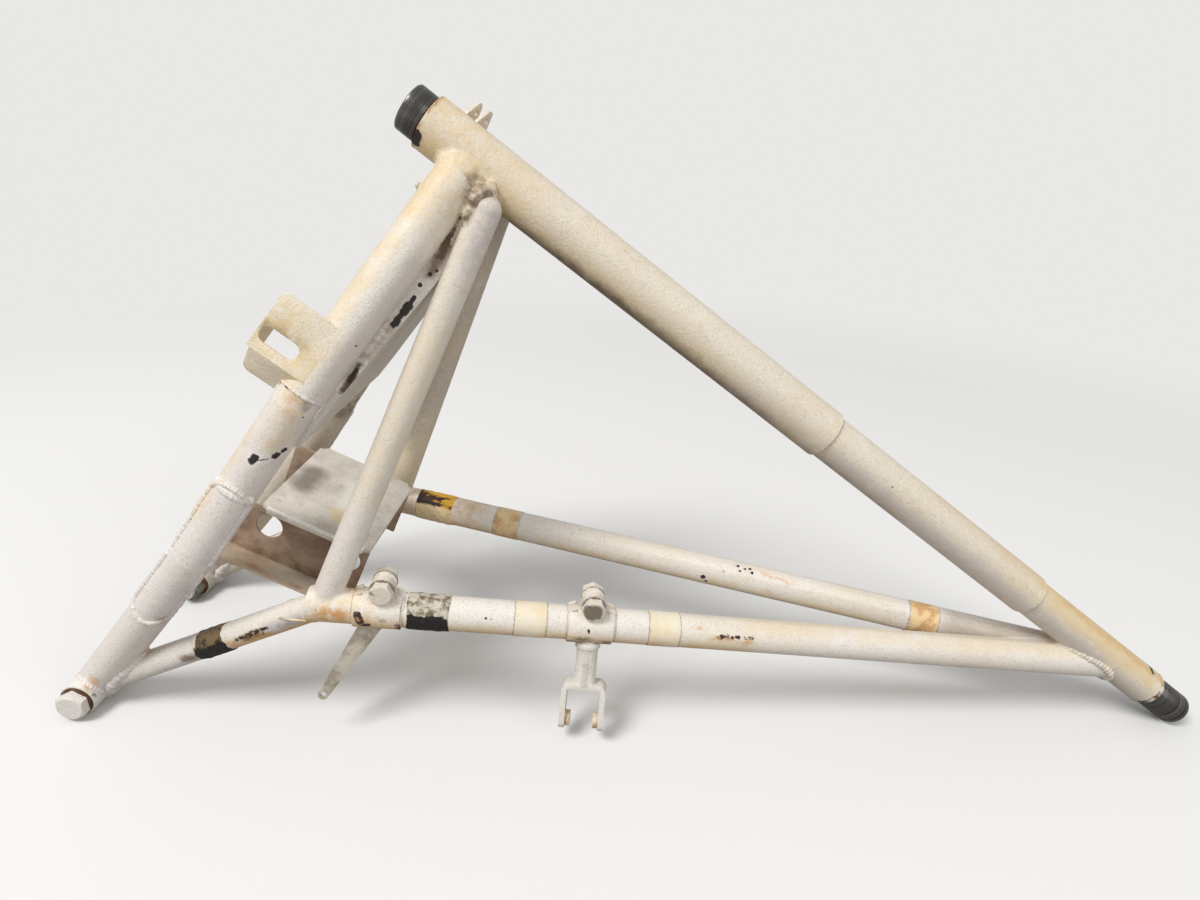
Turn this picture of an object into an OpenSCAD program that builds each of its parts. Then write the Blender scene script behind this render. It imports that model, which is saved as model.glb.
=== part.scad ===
/* [Pivot tube] */
// Length of the pivot tube over both journals
pivot_len = 711.6; // [690:0.1:740]
// Slope of the pivot tube when the leg lies on its feet, degrees
pivot_tilt = 34.3; // [32:0.1:36]
// Outside diameter of the first tube
pivot_d = 34.93; // [33.5:0.01:36]
// Step in diameter from each tube to the next
tube_step = 3.18; // [3:0.01:3.3]
// End of the first tube, measured from the upper tip
first_end = 337.6; // [320:0.1:360]
// End of the second tube, measured from the upper tip
second_end = 542.6; // [520:0.1:570]
// Diameter of the upper journal
upper_journal_d = 30.2; // [29:0.1:31]
// Exposed length of the upper journal
upper_journal_len = 14.3; // [12:0.1:20]
// Exposed length of the lower journal
lower_journal_len = 33.5; // [25:0.5:40]
// Bore through each journal
journal_bore = 16; // [12:0.5:18]
// Width of the relief groove beside the paint on each journal
groove_w = 1.2; // [0.8:0.1:2]

/* [Legs] */
// Half the distance between the feet
foot_y = 72.5; // [68:0.5:78]
// Outside diameter of a leg tube
leg_d = 27; // [25.4:0.1:28.6]
// Wall of a leg tube
leg_wall = 1.65; // [1.2:0.05:2.4]
// Thickness of the sleeve around the upper leg
sleeve_t = 0.8; // [0.6:0.1:1.2]
// Thickness of the doubler over the lower bend
doubler_t = 1.2; // [0.8:0.1:1.6]

/* [Posts and drag tubes] */
// Outside diameter of a post and of a toe tube
post_d = 19.05; // [17.5:0.05:20.5]
// Outside diameter of a drag tube
drag_d = 23.8; // [22.2:0.1:25.4]
// Wall of the posts, toe tubes and drag tubes
thin_wall = 1.25; // [0.9:0.05:1.65]

/* [Feet] */
// Outside diameter of a foot boss
boss_d = 25.4; // [24:0.1:27]
// Length of a foot boss
boss_len = 37; // [33:0.5:40]
// Diameter of a foot bolt
foot_bolt_d = 12.7; // [11:0.1:13]
// Width across the flats of a foot bolt's head
foot_hex = 19.05; // [17.5:0.05:20.6]

/* [Disc seat] */
// Width of the seat plate, front to rear
seat_w = 102; // [96:1:104]
// Length of the seat plate
seat_len = 78.5; // [74:0.5:82]
// Thickness of the seat plate
seat_t = 4.8; // [4:0.1:6]
// Slope of the seat plate, degrees
seat_tilt = 23; // [21:0.5:25]
// Depth of the channels under the seat
channel_h = 40; // [36:1:42]
// Thickness of the channel sheet
channel_t = 1.6; // [1.2:0.1:2]
// Diameter of the lightening holes in the channels
lightening_d = 18.5; // [14:0.5:20]

/* [Slotted bracket] */
// Thickness of the bracket sheet
bracket_t = 1.6; // [1.2:0.1:2.4]
// Reach of the bracket from the leg's centre line
bracket_reach = 38; // [34:1:42]
// Width of the slot
slot_w = 10; // [8:0.5:11]
// Length of the slot over its round ends
slot_len = 25; // [20:0.5:26]

/* [Clamps and fork] */
// Width of each strap clamp
clamp_w = 31; // [28:1:34]
// Thickness of the clamp strap
clamp_t = 1.5; // [1.2:0.1:2]
// Diameter of a clamp bolt
clamp_bolt_d = 9.5; // [8:0.1:9.6]
// Width across the flats of a clamp bolt's head
clamp_hex = 14.3; // [13:0.1:15]
// Gap between the arms of the fork
fork_gap = 23.7; // [20:0.1:26]
// Thickness of a fork arm
fork_arm = 3.9; // [3:0.1:5]
// Pin bore of the fork
fork_bore = 6.4; // [5:0.1:7]
// Length of the door arm
arm_len = 66; // [58:1:70]

/* [Hidden] */
$fn = 64;
eps = 0.02;
wide = 400;

first_r = pivot_d / 2;
second_r = first_r - tube_step / 2;
third_r = second_r - tube_step / 2;
lower_journal_r = third_r - tube_step / 2;
socket_len = 25;
groove_deep = 0.5;
painted_end = pivot_len - lower_journal_len;

leg_r = leg_d / 2;
sleeve_r = leg_r + sleeve_t;
post_r = post_d / 2;
drag_r = drag_d / 2;
boss_r = boss_d / 2;
boss_shift = 1;
washer_t = 1.8;
saddle_t = 1.6;
pad_r = first_r + saddle_t;

// The truss grows along x and z with the pivot tube
spread = pivot_len / 711.6;

// Points of the pivot tube, seen from the feet: x along the part, z up
upper_tip = [234.6 * spread, 0, lower_journal_r * cos(pivot_tilt) + pivot_len * sin(pivot_tilt)];
lower_tip = upper_tip + pivot_len * [cos(pivot_tilt), 0, -sin(pivot_tilt)];

// Nodes of one side of the truss; y is the distance from the middle plane
foot = [0, foot_y, boss_r];
lower_bend = [103.6 * spread, 82.8, 138.9 * spread];
upper_bend = [176.2 * spread, 70.5, 243 * spread];
neck = [263.6 * spread, 20.5, 368.1 * spread];
knee = [182.5 * spread, 77.3, 103.6 * spread];
post_top = [285.1 * spread, 22.6, 357.2 * spread];
drag_end = [744.8 * spread, 2.2, 51.3 * spread];

// Seat plate: its top centre, and the frame turned with it
seat_centre = [170.6, 0, 145.5] * spread;
web_y = 45;
flange_y = 64.5;
tab_y = 71;
channel_left = -57;
channel_right = seat_len / 2;

// Where things sit along their tubes
arm_clamp_s = 37;
fork_clamp_s = 181.5;
ear_s = [33, 40.5];
clamp_r = drag_r + clamp_t;
clamp_ear_h = 18.5;
bolt_shift = [2.5, 0];
ear_gap = 7;
ear_out = ear_gap / 2 + clamp_t;
clamp_places = [arm_clamp_s + bolt_shift[0], fork_clamp_s + bolt_shift[1]];
washer_d = clamp_hex + 2.6;
clamp_washer_t = 1.6;
clamp_head_h = 6;
clamp_nut_h = 6;

// Door arm and fork: where each starts and which way it points
arm_root = along(on(knee, -1), on(drag_end, -1), arm_clamp_s - 6) - [0, 0, clamp_r + 0.2];
arm_dir = unit([-0.52, -0.25, -0.82]);
fork_root = along(on(knee, -1), on(drag_end, -1), fork_clamp_s);
fork_dir = unit([-0.02, -0.27, -0.96]);
shank_r = 7.5;
fork_shoulder = 43.2;
fork_pin_down = 72;
fork_out = fork_gap / 2 + fork_arm;
fork_half = 7;

// Middle of the whole part along x, so that the part stands over its own origin
max_x = lower_tip.x + lower_journal_r * sin(pivot_tilt);
mid_x = (max_x - boss_r) / 2;

paint = "#E6DDCD";
stained = "#D9C7A0";
shade = "#8A7660";
plate_grey = "#A8A296";
steel = "#4A4A4C";
rusty = "#5A3A22";
black = "#151515";

// A truss point on one side: side is -1 for the front and 1 for the rear
function on(p, side) = [p.x, side * p.y, p.z];
function unit(v) = v / norm(v);
function heading(v) = atan2(v.y, v.x);
function tilt_of(v) = acos(v.z / norm(v));
function spin_to(v, aim) =
    let (a = heading(v), b = tilt_of(v),
         side_axis = [-sin(a), cos(a), 0],
         fall_axis = [cos(b) * cos(a), cos(b) * sin(a), -sin(b)])
    atan2(aim * side_axis, aim * fall_axis);
function along(p, q, s) = p + s * unit(q - p);

// Children stand on p with z running towards q and x turned towards aim
module stand(p, q, aim = [0, 0, 1]) {
    v = q - p;
    translate(p)
        rotate([0, tilt_of(v), heading(v)])
            rotate([0, 0, spin_to(v, aim)])
                children();
}

// A round bar from p to q, lengthened at either end
module bar(p, q, r, before = 0, after = 0) {
    stand(p, q)
        translate([0, 0, -before])
            cylinder(r = r, h = norm(q - p) + before + after);
}

// A round bar from p that ends in a dome centred on q
module domed_bar(p, q, r, before = 0) {
    len = norm(q - p);
    stand(p, q)
        rotate_extrude()
            polygon([
                [0, -before], [r, -before],
                for (a = [0:10:90]) [a == 90 ? 0 : r * cos(a), len + r * sin(a)]
            ]);
}

// Everything on the far side of the plane through p that faces v
module beyond_plane(p, v) {
    stand(p, p + v)
        translate([-wide / 2, -wide / 2, 0])
            cube(wide);
}

module hollow_bar(p, q, r, wall) {
    difference() {
        bar(p, q, r);
        bar(p, q, r - wall, 1, 1);
    }
}

// Everything on the far side of the middle plane, as seen from side
module beyond_middle(side) {
    translate([-wide, side > 0 ? -2 * wide : 0, -wide])
        cube([4 * wide, 2 * wide, 3 * wide]);
}

// Children stand at the upper tip with z running down the pivot tube and x up
module on_pivot(s) {
    stand(upper_tip, lower_tip)
        translate([0, 0, s])
            children();
}

module pivot_length(from, to, r) {
    on_pivot(from)
        cylinder(r = r, h = to - from);
}

// ---- pivot tube ----

module pivot_tube() {
    color(stained)
        difference() {
            pivot_length(upper_journal_len, first_end, first_r);
            pivot_length(0, first_end + 1, second_r);
        }
}

module pivot_tube_middle() {
    color(paint)
        difference() {
            pivot_length(first_end - socket_len, second_end, second_r);
            pivot_length(first_end - socket_len - 1, second_end + 1, third_r);
        }
}

module pivot_tube_lower() {
    color(paint)
        difference() {
            pivot_length(second_end - socket_len, painted_end, third_r);
            pivot_length(second_end - socket_len - 1, painted_end + 1, lower_journal_r);
        }
}

module upper_journal() {
    chamfer = 0.8;
    color(steel)
        on_pivot(0)
            rotate_extrude()
                polygon([
                    [journal_bore / 2, 0],
                    [upper_journal_d / 2 - chamfer, 0],
                    [upper_journal_d / 2, chamfer],
                    [upper_journal_d / 2, upper_journal_len - groove_w],
                    [upper_journal_d / 2 - groove_deep, upper_journal_len - groove_w],
                    [upper_journal_d / 2 - groove_deep, upper_journal_len],
                    [second_r, upper_journal_len],
                    [second_r, upper_journal_len + socket_len],
                    [journal_bore / 2, upper_journal_len + socket_len]
                ]);
}

module lower_journal() {
    chamfer = 0.8;
    color(steel)
        on_pivot(painted_end - socket_len)
            rotate_extrude()
                polygon([
                    [journal_bore / 2, 0],
                    [lower_journal_r, 0],
                    [lower_journal_r, socket_len],
                    [lower_journal_r - groove_deep, socket_len],
                    [lower_journal_r - groove_deep, socket_len + groove_w],
                    [lower_journal_r, socket_len + groove_w],
                    [lower_journal_r, socket_len + lower_journal_len - chamfer],
                    [lower_journal_r - chamfer, socket_len + lower_journal_len],
                    [journal_bore / 2, socket_len + lower_journal_len]
                ]);
}

// Two thin ears that carry a small pin behind the top of the pivot tube
module lug_ears() {
    ear_t = 2.4;
    tip_r = 2.4;
    hole_d = 3.2;
    color(stained)
        difference() {
            for (s = ear_s)
                on_pivot(s)
                    rotate([0, 0, -35])
                        rotate([-27, 0, 0])
                            translate([0, 0, -ear_t / 2])
                                linear_extrude(ear_t)
                                    hull() {
                                        translate([27, 3.4])
                                            circle(r = tip_r, $fn = 32);
                                        translate([10, -7])
                                            square([1, 17]);
                                    }
            on_pivot(0)
                rotate([0, 0, -35])
                    translate([23, 2.4, 0])
                        cylinder(d = hole_d, h = 80);
            pivot_length(0, first_end, first_r);
        }
}

// ---- neck, where both legs meet the pivot tube ----

// Formed pad that wraps the pivot tube under the tops of the legs and posts
module neck_saddle() {
    crown = [266.5, 372.5] * spread;
    tail = [[286, 373], [292, 370], [294, 364], [290, 356], [250, 335], [238, 355]];
    crown_r = 14;
    color(stained)
        difference() {
            intersection() {
                pivot_length(30, 120, pad_r);
                translate([0, wide, 0])
                    rotate([90, 0, 0])
                        linear_extrude(2 * wide)
                            polygon([
                                for (a = [150:-15:30]) crown + crown_r * [cos(a), sin(a)],
                                for (p = tail) p * spread
                            ]);
            }
            pivot_length(0, first_end, first_r);
        }
}

// Sheet box that closes the fork between the legs and runs up to the posts
module neck_gusset() {
    gusset_t = 1.6;
    depth = 26;
    slope = 50.9;
    low = [168.8, 0, 206.1] * spread;
    // height up the sheet and half its width there
    steps = [[12 * spread, 72.8], [35 * spread, 70.5], [172 * spread, 25.7], [188 * spread, 20.8]];
    color(paint)
        difference() {
            translate(low)
                rotate([0, 90 - slope, 0])
                    rotate([90, 0, 90])
                        translate([0, 0, -depth])
                            difference() {
                                linear_extrude(depth)
                                    trapezium(steps, 0);
                                translate([0, 0, -1])
                                    linear_extrude(depth + 1 - gusset_t)
                                        trapezium(steps, gusset_t);
                            }
            for (side = [-1, 1]) {
                leg_outline(side);
                bar(on(lower_bend, side), on(upper_bend, side), leg_r, 0, 3);
                post_outline(side);
            }
            pivot_length(0, first_end, pad_r);
        }
}

// Outline of the gusset, narrower by in at both sides and longer by in at both ends
module trapezium(steps, in) {
    last = len(steps) - 1;
    edge = [
        for (i = [0:last])
            [steps[i][1] - in, steps[i][0] + (i == 0 ? -in : i == last ? in : 0)]
    ];
    polygon([
        for (p = edge) p,
        for (i = [last:-1:0]) [-edge[i].x, edge[i].y]
    ]);
}

// ---- legs ----

// The plane that halves the angle between the two runs that meet at q
function mitre(p, q, r) = unit(unit(q - p) + unit(r - q));

// One leg: three straight runs of tube, mitred at both bends
module leg_tube(side) {
    foot_end = on(foot, side);
    low = on(lower_bend, side);
    high = on(upper_bend, side);
    top = on(neck, side);
    low_cut = mitre(foot_end, low, high);
    high_cut = mitre(low, high, top);
    over = 8;
    seam = 0.02; // hairline that keeps the runs apart
    inner_r = leg_r - leg_wall;
    color(paint) {
        difference() {
            bar(foot_end, low, leg_r, 1, over);
            bar(foot_end, low, inner_r, 2, over + 1);
            beyond_plane(low - seam * low_cut, low_cut);
            bar(foot_end - [0, wide, 0], foot_end + [0, wide, 0], boss_r);
        }
        difference() {
            bar(low, high, leg_r, over, over);
            bar(low, high, inner_r, over + 1, over + 1);
            beyond_plane(low, -low_cut);
            beyond_plane(high - seam * high_cut, high_cut);
        }
        difference() {
            domed_bar(high, top, leg_r, over);
            domed_bar(high, top, inner_r, over + 1);
            beyond_plane(high, -high_cut);
            pivot_length(0, first_end, pad_r);
            beyond_middle(side);
        }
    }
}

// Sleeve over the upper leg, closed by a dome that laps onto the pivot tube
module leg_sleeve(side) {
    high = on(upper_bend, side);
    top = on(neck, side);
    rim_up = 11;
    color(paint)
        difference() {
            domed_bar(high, top, sleeve_r, -rim_up);
            domed_bar(high, top, leg_r);
            pivot_length(0, first_end, pad_r);
            beyond_middle(side);
        }
}

// A flat-sided mask, round at both ends, that follows the line p to q as seen from the front
module finger_mask(p, q, half_w, depth) {
    reach = norm([q.x - p.x, q.z - p.z]);
    lean = atan2(q.z - p.z, q.x - p.x);
    translate([p.x, p.y, p.z])
        rotate([0, -lean, 0])
            translate([0, depth < 0 ? depth : 0, -half_w])
                cube([reach, abs(depth), 2 * half_w]);
    for (end = [p, q])
        translate([end.x, p.y, end.z])
            rotate([depth < 0 ? 90 : -90, 0, 0])
                cylinder(r = half_w, h = abs(depth));
}

// One run of a doubler: a half shell on the leg, round at its free end
module doubler_run(side, low, far, cut) {
    shell_r = leg_r + doubler_t;
    half_w = leg_r - 1.2;
    over = 6;
    seam = 0.02; // hairline that keeps the runs apart
    end = along(low, far, norm(far - low) - half_w);
    color(paint)
        intersection() {
            difference() {
                bar(low, end, shell_r, over, 2 * half_w);
                bar(low, end, leg_r, over + 1, 3 * half_w);
                beyond_plane(low - seam * cut, cut);
            }
            finger_mask(along(low, far, -2 * half_w), end, half_w, side * 3 * shell_r);
        }
}

// Two-run doubler over the outside of the lower bend
module bend_doubler(side) {
    low = on(lower_bend, side);
    high = on(upper_bend, side);
    foot_end = on(foot, side);
    above = 66;
    below = 62;
    cut = mitre(foot_end, low, high);
    doubler_run(side, low, along(low, high, above), -cut);
    doubler_run(side, low, along(low, foot_end, below), cut);
}

module front_leg_tube() leg_tube(-1);
module rear_leg_tube() leg_tube(1);
module front_leg_sleeve() leg_sleeve(-1);
module rear_leg_sleeve() leg_sleeve(1);
module front_bend_doubler() bend_doubler(-1);
module rear_bend_doubler() bend_doubler(1);

// Children stand on the upper leg: x outwards, y away from the disc seat, z up the tube
module on_front_leg() {
    stand(on(upper_bend, -1), on(neck, -1), [0, -1, 0])
        children();
}

// Sheet bracket with a slot, folded back below its slot
module slotted_bracket() {
    slot_up = 29;
    rim_up = 17.5;
    top_up = 56;
    corner = 5;
    fold_len = 20;
    slot_r = slot_w / 2;
    slot_out = -bracket_reach + 1.5 + slot_r;
    slot_in = slot_out + slot_len - slot_w;
    color(paint)
        difference() {
            on_front_leg() {
                translate([sleeve_r - bracket_t, 0, 0])
                    rotate([90, 0, 90])
                        difference() {
                            linear_extrude(bracket_t)
                                union() {
                                    translate([-bracket_reach, rim_up])
                                        square([bracket_reach, top_up - rim_up - corner]);
                                    translate([-bracket_reach + corner, rim_up])
                                        square([bracket_reach - corner, top_up - rim_up]);
                                    translate([-bracket_reach + corner, top_up - corner])
                                        circle(r = corner);
                                }
                            for (y = [slot_out, slot_in])
                                translate([y, slot_up, -1])
                                    cylinder(r = slot_r, h = bracket_t + 2);
                            translate([slot_out, slot_up - slot_r, -1])
                                cube([slot_in - slot_out, slot_w, bracket_t + 2]);
                        }
                translate([sleeve_r, 0, rim_up])
                    rotate([0, 40, 0])
                        translate([-bracket_t, -bracket_reach + 2, -fold_len])
                            rotate([90, 0, 90])
                                union() {
                                    translate([corner, 0])
                                        cube([bracket_reach - 2 - corner, fold_len + 0.5, bracket_t]);
                                    translate([0, corner])
                                        cube([bracket_reach - 2, fold_len + 0.5 - corner, bracket_t]);
                                    translate([corner, corner])
                                        cylinder(r = corner, h = bracket_t);
                                }
                // web between the plate and the back of the sleeve
                translate([-sleeve_r + 4, -bracket_reach, rim_up])
                    cube([2 * sleeve_r - 4.5, bracket_t, top_up - rim_up - corner]);
            }
            bar(on(upper_bend, -1), on(neck, -1), sleeve_r, 0, 20);
            bar(on(upper_bend, -1), on(neck, -1), leg_r, 60, 20);
        }
}

// ---- posts, drag tubes and toe tubes ----

// Solid outlines that the smaller pieces are coped against
module leg_outline(side) {
    bar(on(foot, side), on(lower_bend, side), leg_r);
    domed_bar(on(upper_bend, side), on(neck, side), sleeve_r);
}

module post_outline(side) {
    domed_bar(on(knee, side), on(post_top, side), post_r);
}

// Post closed by a dome under the pivot tube
module post(side) {
    low = on(knee, side);
    top = on(post_top, side);
    inner_r = post_r - thin_wall;
    color(paint)
        difference() {
            post_outline(side);
            domed_bar(low, top, inner_r, 1);
            pivot_length(0, first_end, pad_r);
            bar(low, on(drag_end, side), drag_r, 20);
            leg_outline(side);
        }
}

module drag_tube(side) {
    low = on(knee, side);
    end = on(drag_end, side);
    color(paint)
        difference() {
            bar(low, end, drag_r, 9, 20);
            bar(low, end, drag_r - thin_wall, 4, 21);
            pivot_length(first_end, painted_end, third_r);
            pivot_length(0, second_end, second_r);
            beyond_middle(side);
        }
}

module toe_tube(side) {
    low = on(foot, side);
    high = on(knee, side);
    color(paint)
        difference() {
            hollow_bar(low, high, post_r, thin_wall);
            bar(low - [0, wide, 0], low + [0, wide, 0], boss_r);
            leg_outline(side);
            bar(high, on(drag_end, side), drag_r, 9, 20);
        }
}

module front_post() post(-1);
module rear_post() post(1);
module front_drag_tube() drag_tube(-1);
module rear_drag_tube() drag_tube(1);
module front_toe_tube() toe_tube(-1);
module rear_toe_tube() toe_tube(1);

// ---- feet ----

// Children stand on the outer face of a foot boss, with z pointing outwards
module on_boss_face(side) {
    translate([foot.x, side * (foot.y + boss_shift + boss_len / 2), foot.z])
        rotate([-90 * side, 0, 0])
            children();
}

module hex_prism(flats, h) {
    cylinder(d = flats / cos(30), h = h, $fn = 6);
}

module foot_boss(side) {
    color(paint)
        on_boss_face(side)
            translate([0, 0, -boss_len])
                difference() {
                    cylinder(d = boss_d, h = boss_len);
                    translate([0, 0, -1])
                        cylinder(d = foot_bolt_d, h = boss_len + 2);
                }
}

module front_foot_boss() foot_boss(-1);
module rear_foot_boss() foot_boss(1);

module foot_bolts() {
    head_h = 7;
    thread_out = 14;
    color(paint)
        for (side = [-1, 1])
            on_boss_face(side) {
                translate([0, 0, washer_t])
                    hex_prism(foot_hex, head_h);
                translate([0, 0, -boss_len - washer_t - thread_out])
                    cylinder(d = foot_bolt_d, h = boss_len + 2 * washer_t + thread_out + eps);
            }
}

module foot_washers() {
    color(rusty)
        for (side = [-1, 1])
            for (z = [0, -boss_len - washer_t])
                on_boss_face(side)
                    translate([0, 0, z])
                        difference() {
                            cylinder(d = boss_d - 2.4, h = washer_t);
                            translate([0, 0, -1])
                                cylinder(d = foot_bolt_d, h = washer_t + 2);
                        }
}

module foot_nuts() {
    nut_h = 10;
    color(steel)
        for (side = [-1, 1])
            on_boss_face(side)
                translate([0, 0, -boss_len - washer_t - nut_h])
                    difference() {
                        hex_prism(foot_hex, nut_h);
                        translate([0, 0, -1])
                            cylinder(d = foot_bolt_d, h = nut_h + 2);
                    }
}

// ---- disc seat ----

// Children lie in the seat's frame: x down the slope, z square to the plate
module on_seat() {
    translate(seat_centre)
        rotate([0, seat_tilt, 0])
            children();
}

module seat_plate() {
    notch_r = 4.5;
    color(plate_grey)
        on_seat()
            difference() {
                translate([-seat_len / 2, -seat_w / 2, -seat_t])
                    cube([seat_len, seat_w, seat_t]);
                for (x = [-1, 1], y = [-1, 1])
                    translate([x * seat_len / 2, y * seat_w / 2, -seat_t - 1])
                        cylinder(r = notch_r, h = seat_t + 2);
            }
}

// Sheet channel that hangs from the seat plate and opens outwards
module channel(side) {
    flange_right = 25;
    web_len = channel_right - channel_left;
    out = tab_y - web_y;
    flange_w = flange_y - web_y;
    color(shade)
        difference() {
            on_seat()
                translate([0, 0, -seat_t - channel_h])
                    difference() {
                        union() {
                            translate([channel_left, side * web_y - channel_t / 2, 0])
                                cube([web_len, channel_t, channel_h]);
                            translate([0, side * web_y, 0])
                                mirror([0, side > 0 ? 0 : 1, 0])
                                    linear_extrude(channel_t)
                                        polygon([
                                            [channel_left, 0], [channel_right, 0],
                                            [channel_right, 4], [flange_right, out],
                                            [flange_right - 8, out], [flange_right - 10, flange_w],
                                            [channel_left + 13, flange_w], [channel_left + 11, out],
                                            [channel_left, out]
                                        ]);
                        }
                        for (x = [-31, 26.5])
                            translate([x, side * web_y, channel_h - 13])
                                rotate([90, 0, 0])
                                    cylinder(d = lightening_d, h = 20, center = true);
                    }
            bar(on(foot, side), on(lower_bend, side), leg_r, 0, 3);
            bar(on(lower_bend, side), on(upper_bend, side), leg_r, 3);
            bar(on(knee, side), on(post_top, side), post_r);
            bar(on(knee, side), on(drag_end, side), drag_r, 9);
            bar(on(foot, side), on(knee, side), post_r);
        }
}

module front_channel() channel(-1);
module rear_channel() channel(1);

// ---- strap clamps on the front drag tube ----

// Children stand on the drag tube: z along it, x up, at s from the knee
module on_drag(s) {
    stand(on(knee, -1), on(drag_end, -1))
        translate([0, 0, s])
            children();
}

// Strap round the tube with two ears above it
module strap_clamp(s, shift) {
    ear_half = 8;
    difference() {
        on_drag(s)
            difference() {
                union() {
                    translate([0, 0, -clamp_w / 2])
                        cylinder(r = clamp_r, h = clamp_w);
                    for (y = [-1, 1])
                        translate([drag_r - 3, y * ear_gap / 2 - (y < 0 ? clamp_t : 0), shift])
                            rotate([-90, 0, 0])
                                union() {
                                    translate([0, -ear_half, 0])
                                        cube([clamp_ear_h - drag_r + 3, 2 * ear_half, clamp_t]);
                                    translate([clamp_ear_h - drag_r + 3, 0, 0])
                                        cylinder(r = ear_half, h = clamp_t);
                                }
                    // small wings at the edges of the strap
                    for (z = [-1, 1])
                        translate([drag_r + 0.6, -5, z * (clamp_w / 2 - 2)])
                            rotate([0, z * -25, 0])
                                translate([0, 0, -3])
                                    cube([clamp_t, 10, 6]);
                }
                translate([clamp_ear_h, 0, shift])
                    rotate([90, 0, 0])
                        cylinder(d = clamp_bolt_d, h = 60, center = true);
                // parting of the strap, and room for the washers beside the ears
                translate([0, -ear_gap / 2, -clamp_w])
                    cube([clamp_ear_h, ear_gap, 2 * clamp_w]);
                for (y = [-1, 1])
                    translate([clamp_ear_h, y * ear_out, shift])
                        rotate([-90 * y, 0, 0])
                            cylinder(d = washer_d + 0.4, h = 2 * clamp_r);
            }
        bar(on(knee, -1), on(drag_end, -1), drag_r, 40);
    }
}

module arm_clamp() color(paint) strap_clamp(arm_clamp_s, bolt_shift[0]);
module fork_clamp() color(paint) strap_clamp(fork_clamp_s, bolt_shift[1]);

// Children stand at a clamp bolt's middle, with z pointing at its head
module on_clamp_bolt(s) {
    on_drag(s)
        translate([clamp_ear_h, 0, 0])
            rotate([-90, 0, 0])
                children();
}

module clamp_bolts() {
    shank_end = ear_out + clamp_washer_t + clamp_nut_h + 1.5;
    color(paint)
        for (s = clamp_places)
            on_clamp_bolt(s) {
                translate([0, 0, ear_out + clamp_washer_t])
                    hex_prism(clamp_hex, clamp_head_h);
                translate([0, 0, -shank_end])
                    cylinder(d = clamp_bolt_d, h = shank_end + ear_out + clamp_washer_t + eps);
            }
}

module clamp_spacers() {
    color(paint)
        for (s = clamp_places)
            on_clamp_bolt(s)
                translate([0, 0, -ear_gap / 2])
                    difference() {
                        cylinder(d = clamp_bolt_d + 3.6, h = ear_gap);
                        translate([0, 0, -1])
                            cylinder(d = clamp_bolt_d, h = ear_gap + 2);
                    }
}

module clamp_washers() {
    color(paint)
        for (s = clamp_places, z = [ear_out, -ear_out - clamp_washer_t])
            on_clamp_bolt(s)
                translate([0, 0, z])
                    difference() {
                        cylinder(d = washer_d, h = clamp_washer_t);
                        translate([0, 0, -1])
                            cylinder(d = clamp_bolt_d, h = clamp_washer_t + 2);
                    }
}

module clamp_nuts() {
    color(paint)
        for (s = clamp_places)
            on_clamp_bolt(s)
                translate([0, 0, -ear_out - clamp_washer_t - clamp_nut_h])
                    difference() {
                        hex_prism(clamp_hex, clamp_nut_h);
                        translate([0, 0, -1])
                            cylinder(d = clamp_bolt_d, h = clamp_nut_h + 2);
                    }
}

// ---- door arm and fork ----

// Tapered strip with one turned edge, drilled at its tip
module door_arm() {
    arm_t = 2.2;
    root_half = 7.5;
    tip_half = 3.6;
    hole_d = 4.2;
    edge_h = 6;
    color(paint)
        difference() {
            stand(arm_root - 3 * arm_dir, arm_root + arm_dir, [0, -1, 0])
                difference() {
                    union() {
                        translate([-arm_t / 2, 0, 0])
                            rotate([90, 0, 90])
                                linear_extrude(arm_t)
                                    polygon([
                                        [-root_half, 0], [root_half, 0],
                                        [tip_half, arm_len], [-tip_half, arm_len]
                                    ]);
                        translate([-arm_t / 2, 0, arm_len])
                            rotate([0, 90, 0])
                                cylinder(r = tip_half, h = arm_t);
                        // turned edge
                        translate([-arm_t / 2 - edge_h + 1, 0, 0])
                            rotate([90, 0, 90])
                                linear_extrude(edge_h)
                                    polygon([
                                        [root_half - 1.8, 0], [root_half, 0],
                                        [tip_half, arm_len - 8], [tip_half - 1.8, arm_len - 8]
                                    ]);
                    }
                    translate([-20, 0, arm_len])
                        rotate([0, 90, 0])
                            cylinder(d = hole_d, h = 40);
                }
            bar(on(knee, -1), on(drag_end, -1), clamp_r, 40);
        }
}

// Children stand on the tube's centre with z down the fork and x along its pin
module on_fork() {
    stand(fork_root, fork_root + fork_dir, [1, 0, 0])
        children();
}

// Bent strap of the fork, drawn across its gap with y down
module fork_profile() {
    corner_r = 6;
    inner_r = corner_r - fork_arm;
    inner_half = fork_gap / 2;
    difference() {
        rounded_top(fork_out, fork_pin_down - fork_shoulder, corner_r);
        translate([0, fork_arm])
            rounded_top(inner_half, fork_pin_down, inner_r);
    }
}

// Rectangle from y = 0 to depth with both of its first corners rounded
module rounded_top(half, depth, r) {
    translate([-half, r])
        square([2 * half, depth - r]);
    translate([r - half, 0])
        square([2 * (half - r), depth]);
    for (x = [r - half, half - r])
        translate([x, r])
            circle(r = r);
}

module fork_clevis() {
    color(paint)
        difference() {
            on_fork()
                difference() {
                    union() {
                        cylinder(r = shank_r, h = fork_shoulder + 1);
                        translate([0, 0, clamp_r - 1])
                            cylinder(r = shank_r + 1.4, h = 4);
                        translate([0, fork_half, fork_shoulder])
                            rotate([90, 0, 0])
                                linear_extrude(2 * fork_half)
                                    fork_profile();
                        for (x = [-fork_out, fork_gap / 2])
                            translate([x, 0, fork_pin_down])
                                rotate([0, 90, 0])
                                    cylinder(r = fork_half, h = fork_arm);
                    }
                    translate([-wide / 2, 0, fork_pin_down])
                        rotate([0, 90, 0])
                            cylinder(d = fork_bore + 3, h = wide);
                }
            bar(on(knee, -1), on(drag_end, -1), clamp_r, 40);
        }
}

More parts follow.
